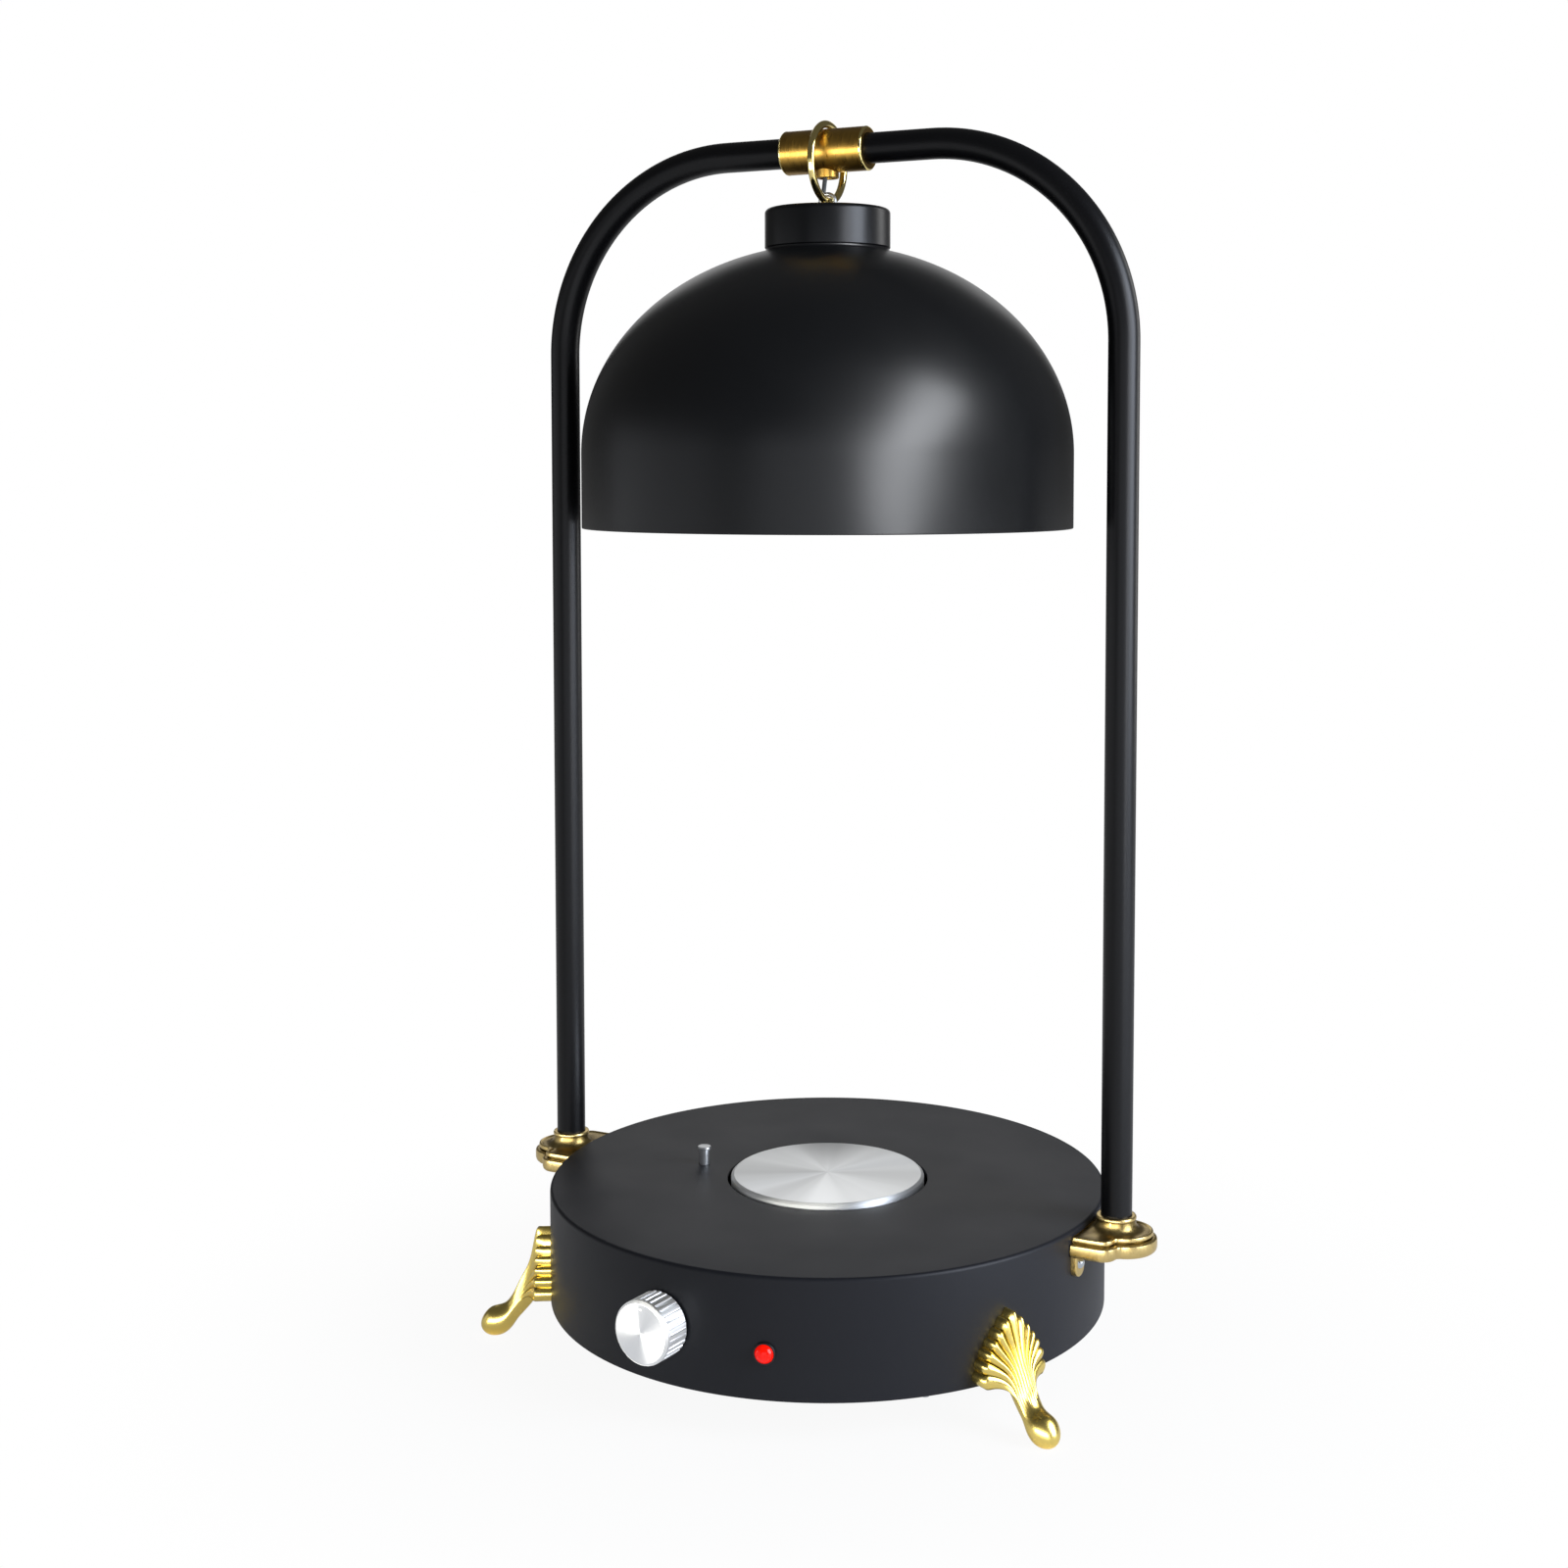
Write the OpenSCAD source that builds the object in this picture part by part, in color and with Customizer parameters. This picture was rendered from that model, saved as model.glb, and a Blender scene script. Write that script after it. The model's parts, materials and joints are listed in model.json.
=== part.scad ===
// Food heat lamp: a drum base on three palmette feet, a hoop of tube over it,
// and a dome shade that hangs from a ring on the hoop.
// Millimetres. The origin is on the table under the drum's axis, +Z is up,
// the front with the knob faces -Y and the hoop stands in the XZ plane.

/* [Drum] */
// Diameter of the drum
drum_d = 300; // [260:5:340]
// Height of the drum
drum_h = 61; // [56:1:80]
// Height of the drum's underside above the table
drum_lift = 22; // [20:1:30]
// Thickness of the drum's sheet
sheet_t = 1.5; // [1:0.1:2]
// Radius of the drum's top edge
drum_edge_r = 2; // [1.6:0.1:4]
// Width of the lip turned in at the drum's foot
lip_w = 12; // [10:1:16]
// Gap between pieces that seat on each other along a curve
seat_gap = 0.1; // [0.05:0.05:0.2]
// Clearance round a screw or stud in its hole
screw_clearance = 0.2; // [0.1:0.05:0.4]

/* [Bottom plate] */
// Thickness of the bottom plate
plate_t = 1.5; // [1:0.1:2.5]
// How far the plate's edge stays inside the drum's wall
plate_inset = 5; // [3:0.5:8]
// Number of plate screws
plate_screw_n = 4; // [3:1:6]
// Number of vent holes
vent_n = 12; // [6:1:18]
// Diameter of a vent hole
vent_d = 8; // [4:1:12]
// Radius of the ring of vent holes
vent_ring_r = 105; // [90:1:115]

/* [Heat disc] */
// Diameter of the heat disc
disc_d = 105; // [96:1:115]
// Thickness of the heat disc
disc_t = 10; // [8:0.5:14]
// How far the disc stands above the drum's top
disc_proud = 2.5; // [1:0.25:5]
// Gap between the disc and the edge of its hole
disc_gap = 1.8; // [1:0.1:3]
// Chamfer on the disc's top edge
disc_chamfer = 1.2; // [0.5:0.1:2]

/* [Heater] */
// Thickness of the flat heating element
element_t = 2; // [1:0.25:4]
// Thickness of the clamp plate under the element
clamp_t = 1.5; // [1:0.25:3]
// How far the element and clamp plate stay inside the disc's edge
element_inset = 4; // [2:0.5:8]
// Length of the ceramic spacers
spacer_h = 12; // [8:0.5:16]
// Diameter of the ceramic spacers
spacer_d = 12; // [9:0.5:16]
// Distance of the spacers from the disc's axis
spacer_r = 34; // [28:1:40]
// Width of the heater bridge
bridge_w = 30; // [24:1:36]
// Distance from the disc's axis to the bridge's legs
bridge_leg_r = 66; // [64:1:72]
// Length of the bridge's flanges
bridge_flange = 17; // [14:1:20]
// Thickness of the bridge's strip
bridge_t = 1.5; // [1:0.25:2.5]
// Diameter of the thermal cut-out's can
cutout_d = 16; // [12:0.5:18]
// Height of the thermal cut-out's can
cutout_h = 9; // [6:0.5:10]

/* [Push pin] */
// Distance of the pin to the left of the drum's axis
pin_x = 71; // [66:1:85]
// Distance of the pin in front of the drum's axis
pin_y = 10; // [0:1:20]
// Diameter of the pin's stem
pin_d = 5.5; // [4:0.25:7]
// Diameter of the pin's head
pin_head_d = 7.5; // [6:0.25:10]
// Thickness of the pin's head
pin_head_h = 1.5; // [1:0.25:3]
// Height of the pin above the drum's top
pin_h = 10; // [8:0.5:14]
// Running clearance round the pin
pin_clearance = 0.3; // [0.2:0.05:0.5]
// Travel of the pin
pin_travel = 3; // [2:0.5:4]
// Length of the return spring at rest
spring_h = 11; // [9:0.5:14]
// Wire of the return spring
spring_wire = 0.6; // [0.4:0.1:0.8]
// Turns of the return spring
spring_turns = 5; // [3:1:7]
// Height of the switch's case
switch_h = 16; // [12:1:20]

/* [Knob] */
// Angle of the knob from the front, negative to the left
knob_angle = -7; // [-12:1:-4]
// Height of the knob's axis above the table
knob_z = 52.5; // [48:0.5:58]
// Diameter of the knob
knob_d = 32; // [26:1:38]
// Length of the knob
knob_h = 16.5; // [14:0.5:22]
// Gap between the knob and the wall
knob_gap = 0.8; // [0.5:0.1:2]
// Number of flutes round the knob
flute_n = 32; // [20:1:40]
// Width of a flute
flute_d = 1.8; // [1:0.1:2.2]
// Length of the smooth ring in front of the flutes
knob_ring = 3.5; // [2:0.5:6]
// Chamfer on the knob's face
knob_chamfer = 1.2; // [0.5:0.1:2]
// Diameter of the dimmer's shaft
shaft_d = 6; // [4:0.5:8]
// Diameter of the dimmer's threaded neck
dimmer_neck_d = 9.4; // [8.5:0.1:11]
// Diameter of the dimmer's can
dimmer_d = 26; // [20:1:30]
// Depth of the dimmer's can
dimmer_h = 15; // [12:1:20]

/* [Indicator] */
// Angle of the indicator from the front
lens_angle = 14; // [8:1:20]
// Height of the indicator above the table
lens_z = 45.5; // [40:0.5:54]
// Diameter of the red lens
lens_d = 9.5; // [7:0.5:12]
// Height of the lens's dome
lens_h = 3.6; // [2:0.2:4.5]
// Width of the black bezel round the lens
bezel_w = 0.8; // [0.4:0.1:2]
// Thickness of the bezel
bezel_t = 0.8; // [0.5:0.1:2]
// Diameter of the indicator's body
indicator_d = 8; // [6:0.5:9]

/* [Mains entry] */
// Angle of the cord bush from the front
bush_angle = 160; // [150:1:164]
// Height of the cord bush above the table
bush_z = 40; // [36:1:50]
// Bore of the cord bush
bush_bore = 7; // [5:0.5:8]
// Wall of the cord bush
bush_wall = 2.5; // [2:0.25:4]
// Length, width and height of the terminal block
terminal_size = [42, 22, 16];
// Distance of the terminal block behind the drum's axis
terminal_y = 78; // [70:1:82]

/* [Feet] */
// Angle of the front feet from the front
foot_angle = 61; // [50:1:66]
// Height of a foot
foot_h = 58.5; // [56:0.5:66]
// Half width of the palmette
fan_half_w = 19.5; // [16:0.5:22]
// Height of the palmette's root above the table
fan_root_z = 27; // [26:0.5:30]
// Thickness of the palmette's edge
fan_edge_t = 6.5; // [5:0.5:8]
// Number of flutes across the palmette
fan_flutes = 13; // [9:2:17]
// Depth of the flutes
fan_depth = 0.7; // [0.2:0.1:1]
// Height of the scallops along the palmette's edge
fan_scallop = 0.8; // [0.2:0.1:1.2]
// Reach of the toe from the drum's wall
toe_reach = 38; // [32:1:44]
// Height of the toe
toe_h = 14.8; // [12:0.2:18]
// Length of the toe
toe_len = 21; // [18:0.5:26]
// Width of the toe
toe_w = 14; // [11:0.5:18]
// Width of the neck
neck_w = 11.5; // [9:0.5:13]
// Thickness of the neck from front to back
neck_deep = 10.6; // [9:0.2:12]
// Thread of the foot screws
foot_screw_d = 4; // [3:0.5:5]
// Height of the lower foot screw
foot_screw_z = 34; // [32:0.5:38]
// Distance between a foot's two screws
foot_screw_gap = 13; // [10:0.5:15]

/* [Hoop] */
// Diameter of the hoop's tube
tube_d = 16; // [14:0.5:18]
// Wall of the hoop's tube
tube_wall = 1.5; // [1:0.1:2]
// Distance of each post from the drum's wall
post_off = 14; // [12.5:0.5:20]
// Height of the hoop's axis above the table
hoop_z = 635; // [600:1:680]
// Bend radius of the hoop
bend_r = 104; // [90:1:120]
// Clearance of the tube in its sockets
tube_clearance = 0.15; // [0.05:0.05:0.3]
// Diameter of the sleeve
sleeve_d = 23; // [20:0.5:26]
// Length of the sleeve
sleeve_len = 48; // [44:1:70]
// Chamfer on the sleeve's ends
sleeve_chamfer = 0.8; // [0.3:0.1:1.5]
// Gap between the tube ends inside the sleeve
tube_end_gap = 16; // [14:1:20]
// Length of the joiner inside the tubes
joiner_len = 60; // [50:1:80]
// Diameter of the outlet cup under the sleeve
cup_d = 12; // [11:0.5:13]
// How far the outlet cup hangs under the sleeve
cup_drop = 3; // [2.5:0.25:5]
// Bore of the outlet cup
cup_bore = 8.4; // [7.5:0.1:9]
// Diameter of the lamp lead
lead_d = 2.4; // [1.8:0.1:3]

/* [Brackets] */
// Depth of the bracket's top below the drum's top
bracket_drop = 3; // [2:0.5:8]
// Height of the boss above the bracket
boss_h = 7; // [6:0.5:14]
// Outside diameter of the boss at its top
boss_d = 20.5; // [20:0.5:24]
// Half width of the bracket
bracket_half_w = 24; // [22:0.5:28]
// How far the bracket's wide part reaches past the post's axis
bracket_reach = 4.5; // [3:0.5:8]
// Radius of the bracket's round nose
nose_r = 15.5; // [13:0.5:18]
// Height of the upper moulding
upper_h = 2.4; // [2:0.2:4]
// Height of the groove between the mouldings
groove_h = 0.9; // [0.6:0.1:2]
// Height of the lower moulding
lower_h = 7.2; // [6:0.2:10]
// Step from the upper to the lower moulding
moulding_step = 2; // [1:0.25:3]
// Angle of a bracket screw from the bracket's middle
lug_angle = 7.5; // [7:0.25:9]
// Width of a bracket's lug
lug_w = 9.5; // [8:0.5:12]
// Thickness of a bracket's lug
lug_t = 3; // [2:0.25:4]
// Drop of the lug's screw below the bracket
lug_drop = 3.4; // [3.4:0.2:6]
// Length of the lug below its screw, to the middle of its round end
lug_tail = 2.4; // [0.5:0.1:4]
// Thread of the bracket screws
bracket_screw_d = 3; // [2.5:0.5:4]

/* [Shade] */
// Outside diameter of the shade
shade_d = 261; // [240:1:270]
// Height of the shade's dome above its straight skirt
dome_h = 110.5; // [90:0.5:120]
// Height of the shade's straight skirt
skirt_h = 39; // [20:0.5:60]
// Thickness of the shade
shade_t = 1.2; // [0.8:0.1:2]
// Height of the shade's neck under the cap
neck_rise = 1.6; // [1.3:0.1:3]
// Diameter of the cap
cap_d = 66.5; // [60:0.5:76]
// Height of the cap
cap_h = 21; // [18:0.5:30]
// Wall of the cap
cap_t = 1.5; // [1:0.1:2.5]
// Radius on the cap's top edge
cap_edge_r = 2.5; // [1.6:0.1:4]
// Chamfer under the cap
cap_foot = 0.7; // [0.3:0.1:1.2]
// Wire of the hanging ring
ring_wire = 4; // [3:0.25:5]
// Outside diameter of the hanging ring
ring_d = 44; // [40:0.5:50]
// Clearance between hanging pieces where they bear
hang_gap = 0.3; // [0.2:0.05:0.5]
// Wire of the cap's eye
eye_wire = 2.4; // [2:0.1:3]
// Bore of the cap's eye
eye_bore = 6; // [5.5:0.1:7]
// Height of the eye's middle above the cap
eye_stand = 3.6; // [3.2:0.1:5]
// Thread of the eye's shank
eye_shank_d = 6; // [4:0.5:6]

/* [Lamp] */
// Diameter of the porcelain lamp holder
holder_d = 42; // [38:1:48]
// Height of the lamp holder
holder_h = 41; // [40:1:48]
// Diameter of the bulb's screw base
bulb_base_d = 26.4; // [24:0.1:27]
// Length of the bulb's screw base
bulb_base_h = 27; // [24:0.5:30]
// Diameter of the reflector bulb
bulb_d = 95; // [80:1:100]
// Length of the bulb's glass
bulb_glass_h = 85; // [80:1:90]
// Thickness of the bulb's glass
glass_t = 1; // [0.6:0.1:1.5]

/* [Hidden] */
$fn = 64;

// Cuts run this far past the face that they open
cut = 1;

// Drum levels and radii
drum_r = drum_d / 2;
drum_top = drum_lift + drum_h;
drum_in_r = drum_r - sheet_t;
under_top = drum_top - sheet_t;
disc_hole_r = disc_d / 2 + disc_gap;
lip_mid_r = drum_in_r - lip_w / 2;
plate_top = drum_lift;

// Standard fastener proportions
function pan_d(d) = 2 * d;
function pan_h(d) = 0.65 * d;
function nut_af(d) = 1.75 * d + 0.25;
function nut_h(d) = 0.8 * d;
m3 = 3;
m4 = 4;
plate_screw_angle = 45;
plate_screw_len = 8;

// Heater levels, from the disc down
disc_top = drum_top + disc_proud;
element_top = disc_top - disc_t;
clamp_top = element_top - element_t;
spacer_top = clamp_top - clamp_t;
web_top = spacer_top - spacer_h;
heater_tap = 6;
stud_in = 9;
stud_len = 10;
bridge_stud_r = bridge_leg_r + bridge_flange * 0.55;
cutout_r = 33;
cutout_tab = [6.3, 0.8, 7];
cutout_flange_t = 0.8;
cutout_flange_d = cutout_d + 6;

// Push pin levels, from the top down
collar_d = pin_d + 4.5;
collar_h = 2;
collar_top = under_top - pin_clearance;
collar_low = collar_top - collar_h;
spring_r = 3.6;
spring_seat = 0.05;
plunger_d = 3;
plunger_len = spring_h + pin_travel + 4;
switch_top = collar_low - spring_h - 2 * spring_seat;
switch_low = switch_top - switch_h;
switch_size = [18, 13];
switch_bracket_t = 1.2;
switch_bracket_w = 14;
switch_leg = switch_size[1] / 2 + 1;
switch_flange = 15;
switch_stud = switch_leg + switch_bracket_t + 8;

// Knob and dimmer, measured outwards from the drum's wall
function sag(r, half) = r - sqrt(r * r - half * half);
dimmer_face = sheet_t + sag(drum_in_r, dimmer_d / 2) + seat_gap;
dimmer_nut_h = 2.4;
dimmer_nut_af = dimmer_neck_d + 3.6;
knob_recess_d = dimmer_nut_af / cos(30) + 1.5;
knob_recess_h = dimmer_nut_h + 3;
shaft_out = knob_gap + knob_h - 4;
shaft_in = 9;
dot_r = knob_d / 2 - 4;
dot_d = 1.6;
dot_depth = 0.4;
grub_z = knob_gap + knob_recess_h + 4;

// Indicator, measured outwards from the drum's wall
bezel_d = lens_d + 2 * bezel_w;
indicator_len = 18;
indicator_nut_h = 2.5;
indicator_nut_af = indicator_d + 4;
indicator_nut_face = sheet_t + sag(drum_in_r, indicator_nut_af / cos(30) / 2) + seat_gap;

// Cord bush
bush_d = bush_bore + 2 * bush_wall;
bush_flange_d = bush_d + 5;
bush_flange_t = 2;
bush_inner_t = 1.5;
bush_grip = sheet_t + sag(drum_in_r, bush_flange_d / 2) + seat_gap;

// Hoop and brackets
post_x = drum_r + post_off;
bracket_top = drum_top - bracket_drop;
bracket_low = bracket_top - upper_h - groove_h - lower_h;
boss_top = bracket_top + boss_h;
socket_floor = bracket_low + 2;
socket_d = tube_d + 2 * tube_clearance;
tube_in_d = tube_d - 2 * tube_wall;
post_low = socket_floor;
post_top = hoop_z - bend_r;
crown_half = post_x - bend_r;
wireway_d = 7;
wireway_z = socket_floor + wireway_d / 2 + 0.5;
lug_z = bracket_low - lug_drop;
tube_grub_z = bracket_low + lower_h / 2;
tube_grub_len = 12;
joiner_d = tube_in_d - 2 * tube_clearance;
joiner_wall = 1.2;
collar_ring_h = 2;
nose_off = 3.5;
groove_depth = 1;
boss_flare = 5;

// Hanging pieces, from the sleeve down
ring_r = (ring_d - ring_wire) / 2;
ring_in_r = ring_d / 2 - ring_wire;
ring_z = hoop_z + sleeve_d / 2 + hang_gap - ring_in_r;
ring_low_z = ring_z - ring_r;
eye_r = (eye_bore + eye_wire) / 2;
eye_z = ring_low_z + ring_wire / 2 + hang_gap - eye_bore / 2;
cap_top = eye_z - eye_stand;
cap_low = cap_top - cap_h;
cap_in_r = cap_d / 2 - cap_t;
eye_out_r = eye_r + eye_wire / 2;
cap_hole_r = max(eye_shank_d / 2, sqrt(max(0, pow(eye_out_r, 2) - pow(eye_stand, 2)))) + hang_gap;
cap_roof = 2;
shade_r = shade_d / 2;
dome_steps = 24;
function dome_rise(r, a, b) = b * sqrt(1 - pow(r / a, 2));
shade_neck_r = cap_d / 2 - 0.5;
shade_neck_fillet = 1.2;
shade_spring = cap_low - neck_rise - dome_rise(shade_neck_r + shade_neck_fillet, shade_r, dome_h);
shade_rim = shade_spring - skirt_h;
crown_r = cap_in_r - 1;
crown_top = cap_low;
crown_low = crown_top - shade_t;
holder_top = crown_low;
holder_low = holder_top - holder_h;
holder_screw_r = 15;
holder_screw_len = 14;
socket_wall_d = bulb_base_d + 2 * tube_clearance;
bulb_base_low = holder_low - 3;
bulb_low = bulb_base_low - bulb_glass_h;
eye_nut_pocket_h = nut_h(eye_shank_d) + 4;
eye_shank_low = crown_low - nut_h(eye_shank_d) - 2;

// Lamp lead: where it leaves the cup and where it enters the cap
lead_out = [-1, 0];
lead_in = [-7, 7];
cup_low = hoop_z - sleeve_d / 2 - cup_drop;
lead_hole_d = lead_d + 3;
lead_inside_cap = 6;
lead_join_z = cup_low + 5;
lead_low_z = cap_top - lead_inside_cap;
function lead_at(z) = lead_in + (lead_out - lead_in) * (z - lead_low_z) / (lead_join_z - lead_low_z);

// Small shapes

function arc(cx, cy, r, from, to, n) =
    [for (i = [0:n]) let (a = from + (to - from) * i / n) [cx + r * cos(a), cy + r * sin(a)]];

// Stands a piece on the drum's wall: its +Z points outwards and its +Y up
module on_wall(angle, z) {
    rotate([0, 0, angle]) translate([0, -drum_r, z]) rotate([90, 0, 0]) children();
}

module ring_of(n, r, start) {
    for (i = [0:n - 1]) rotate([0, 0, start + 360 * i / n]) translate([r, 0, 0]) children();
}

module tube_piece(d, bore, h) {
    linear_extrude(h) difference() {
        circle(d = d);
        circle(d = bore);
    }
}

// Hexagon nut that stands on z = 0
module hex_nut(d, h, af) {
    difference() {
        cylinder(d = af / cos(30), h = h, $fn = 6);
        translate([0, 0, -cut]) cylinder(d = d + screw_clearance, h = h + 2 * cut);
    }
}

// Round cap of a sphere on z = 0
module dome_head(d, h) {
    r = (d * d / 4 + h * h) / (2 * h);
    edge = asin(d / 2 / r);
    rotate_extrude() polygon(concat([[0, 0]], arc(0, h - r, r, 90 - edge, 90, 10)));
}

// Screw whose head stands on z = 0 and whose shank goes down
module domed_screw(d, len) {
    union() {
        dome_head(pan_d(d), pan_h(d));
        translate([0, 0, -len]) cylinder(d = d, h = len + pan_h(d) / 4);
    }
}

// Drum

module drum_profile() {
    polygon(concat(
        [[drum_r, drum_lift]],
        arc(drum_r - drum_edge_r, drum_top - drum_edge_r, drum_edge_r, 0, 90, 6),
        [[disc_hole_r, drum_top], [disc_hole_r, under_top], [drum_in_r, under_top],
         [drum_in_r, drum_lift + sheet_t], [drum_in_r - lip_w, drum_lift + sheet_t],
         [drum_in_r - lip_w, drum_lift]]
    ));
}

// A round hole through the drum's wall
module wall_hole(angle, z, d) {
    on_wall(angle, z) translate([0, 0, -sheet_t - cut]) cylinder(d = d, h = sheet_t + 2 * cut);
}

module drum_shell() {
    color("#2e3034") difference() {
        rotate_extrude() drum_profile();
        translate([-pin_x, -pin_y, under_top - cut])
            cylinder(d = pin_d + 2 * pin_clearance, h = sheet_t + 2 * cut);
        wall_hole(knob_angle, knob_z, dimmer_neck_d + screw_clearance);
        wall_hole(lens_angle, lens_z, indicator_d + screw_clearance);
        wall_hole(bush_angle, bush_z, bush_d + screw_clearance);
        for (side = [90, -90], lug = [-1, 1])
            wall_hole(side + lug * lug_angle, lug_z, bracket_screw_d + screw_clearance);
        wall_hole(90, wireway_z, wireway_d);
        for (a = [-foot_angle, foot_angle, 180], up = [0, 1])
            wall_hole(a, foot_screw_z + up * foot_screw_gap, foot_screw_d + screw_clearance);
        translate([0, 0, drum_lift - cut]) ring_of(plate_screw_n, lip_mid_r, plate_screw_angle)
            cylinder(d = m3 + screw_clearance, h = sheet_t + 2 * cut);
    }
}

module bottom_plate() {
    color("#33363a") translate([0, 0, plate_top - plate_t]) difference() {
        cylinder(r = drum_r - plate_inset, h = plate_t);
        translate([0, 0, -cut]) {
            ring_of(plate_screw_n, lip_mid_r, plate_screw_angle)
                cylinder(d = m3 + screw_clearance, h = plate_t + 2 * cut);
            ring_of(vent_n, vent_ring_r, 0) cylinder(d = vent_d, h = plate_t + 2 * cut);
            translate([0, terminal_y, 0]) cylinder(d = m4 + screw_clearance, h = plate_t + 2 * cut);
        }
    }
}

module plate_screws() {
    color("silver") translate([0, 0, plate_top - plate_t])
        ring_of(plate_screw_n, lip_mid_r, plate_screw_angle)
            rotate([180, 0, 0]) domed_screw(m3, plate_screw_len);
}

module plate_weld_nuts() {
    color("gray") translate([0, 0, drum_lift + sheet_t])
        ring_of(plate_screw_n, lip_mid_r, plate_screw_angle) hex_nut(m3, nut_h(m3), nut_af(m3));
}

// Heat disc and heater

module heat_disc() {
    color("#d8dadc") difference() {
        rotate_extrude() polygon([
            [0, disc_top - disc_t], [disc_d / 2, disc_top - disc_t],
            [disc_d / 2, disc_top - disc_chamfer], [disc_d / 2 - disc_chamfer, disc_top],
            [0, disc_top]
        ]);
        for (s = [-1, 1]) translate([0, s * spacer_r, element_top - cut])
            cylinder(d = m4 + screw_clearance, h = heater_tap + cut);
    }
}

module heating_element() {
    color("#b58a4a") translate([0, 0, clamp_top]) difference() {
        cylinder(d = disc_d - 2 * element_inset, h = element_t);
        for (s = [-1, 1]) translate([0, s * spacer_r, -cut])
            cylinder(d = m4 + screw_clearance, h = element_t + 2 * cut);
    }
}

module heater_clamp() {
    color("silver") translate([0, 0, spacer_top]) difference() {
        cylinder(d = disc_d - 2 * element_inset, h = clamp_t);
        for (s = [-1, 1]) translate([0, s * spacer_r, -cut])
            cylinder(d = m4 + screw_clearance, h = clamp_t + 2 * cut);
    }
}

module ceramic_spacers() {
    color("ivory") for (s = [-1, 1]) translate([0, s * spacer_r, web_top])
        tube_piece(spacer_d, m4 + screw_clearance, spacer_h);
}

module heater_screws() {
    color("silver") for (s = [-1, 1]) translate([0, s * spacer_r, web_top - bridge_t])
        rotate([180, 0, 0])
            domed_screw(m4, bridge_t + spacer_h + clamp_t + element_t + heater_tap - 1);
}

module heater_bridge() {
    color("silver") difference() {
        union() {
            translate([-bridge_w / 2, -bridge_leg_r, web_top - bridge_t])
                cube([bridge_w, 2 * bridge_leg_r, bridge_t]);
            for (s = [0, 180]) rotate([0, 0, s]) {
                translate([-bridge_w / 2, bridge_leg_r - bridge_t, web_top - bridge_t])
                    cube([bridge_w, bridge_t, under_top - web_top + bridge_t]);
                translate([-bridge_w / 2, bridge_leg_r - bridge_t, under_top - bridge_t])
                    cube([bridge_w, bridge_flange, bridge_t]);
            }
        }
        for (s = [-1, 1]) {
            translate([0, s * spacer_r, web_top - bridge_t - cut])
                cylinder(d = m4 + screw_clearance, h = bridge_t + 2 * cut);
            for (x = [-stud_in, stud_in]) translate([x, s * bridge_stud_r, under_top - bridge_t - cut])
                cylinder(d = m4 + screw_clearance, h = bridge_t + 2 * cut);
        }
    }
}

// Places of the welded studs under the drum's top: [x, y, strip thickness]
stud_places = concat(
    [for (s = [-1, 1], x = [-stud_in, stud_in]) [x, s * bridge_stud_r, bridge_t]],
    [for (s = [-1, 1]) [-pin_x, -pin_y + s * switch_stud, switch_bracket_t]]
);

module top_studs() {
    color("gray") for (p = stud_places) translate([p[0], p[1], under_top - stud_len])
        cylinder(d = m4, h = stud_len);
}

module stud_nuts() {
    color("silver") for (p = stud_places) translate([p[0], p[1], under_top - p[2] - nut_h(m4)])
        hex_nut(m4, nut_h(m4), nut_af(m4));
}

module thermal_cutout() {
    color("#c9b78f") translate([cutout_r, 0, spacer_top]) union() {
        translate([0, 0, -cutout_flange_t]) cylinder(d = cutout_flange_d, h = cutout_flange_t);
        translate([0, 0, -cutout_h]) cylinder(d = cutout_d, h = cutout_h);
        for (s = [-1, 1]) translate([-cutout_tab[0] / 2, s * cutout_d / 4 - cutout_tab[1] / 2,
                                     -cutout_h - cutout_tab[2]])
            cube(cutout_tab + [0, 0, cut]);
    }
}

// Push pin and its switch

module push_pin() {
    color("#b9bbbd") translate([-pin_x, -pin_y, 0]) rotate_extrude() polygon([
        [0, collar_low - plunger_len], [plunger_d / 2, collar_low - plunger_len],
        [plunger_d / 2, collar_low], [collar_d / 2, collar_low], [collar_d / 2, collar_top],
        [pin_d / 2, collar_top], [pin_d / 2, drum_top + pin_h - pin_head_h],
        [pin_head_d / 2, drum_top + pin_h - pin_head_h], [pin_head_d / 2, drum_top + pin_h],
        [0, drum_top + pin_h]
    ]);
}

// The spring is one tube along a helix, six-sided, eight rings to a turn
module pin_spring() {
    rings = 8 * spring_turns;
    sides = 6;
    rise = spring_h - spring_wire;
    function spring_point(i, j) =
        let (a = 360 * spring_turns * i / rings, b = 360 * j / sides)
        let (r = spring_r + spring_wire / 2 * cos(b))
        [r * cos(a), r * sin(a), rise * i / rings + spring_wire / 2 * sin(b)];
    points = [for (i = [0:rings], j = [0:sides - 1]) spring_point(i, j)];
    faces = concat(
        [[for (j = [0:sides - 1]) j]],
        [for (i = [0:rings - 1], j = [0:sides - 1]) let (k = (j + 1) % sides)
            each [[i * sides + j, (i + 1) * sides + j, (i + 1) * sides + k],
                  [i * sides + j, (i + 1) * sides + k, i * sides + k]]],
        [[for (j = [sides - 1:-1:0]) rings * sides + j]]
    );
    color("silver") translate([-pin_x, -pin_y, switch_top + spring_seat + spring_wire / 2])
        polyhedron(points, faces);
}

module pin_switch() {
    color("#1c1d1f") translate([-pin_x, -pin_y, switch_low]) difference() {
        translate([-switch_size[0] / 2, -switch_size[1] / 2, 0])
            cube([switch_size[0], switch_size[1], switch_h]);
        translate([0, 0, switch_h - plunger_len + spring_h - pin_travel - cut])
            cylinder(d = plunger_d + 2 * pin_clearance, h = plunger_len);
    }
}

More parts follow.
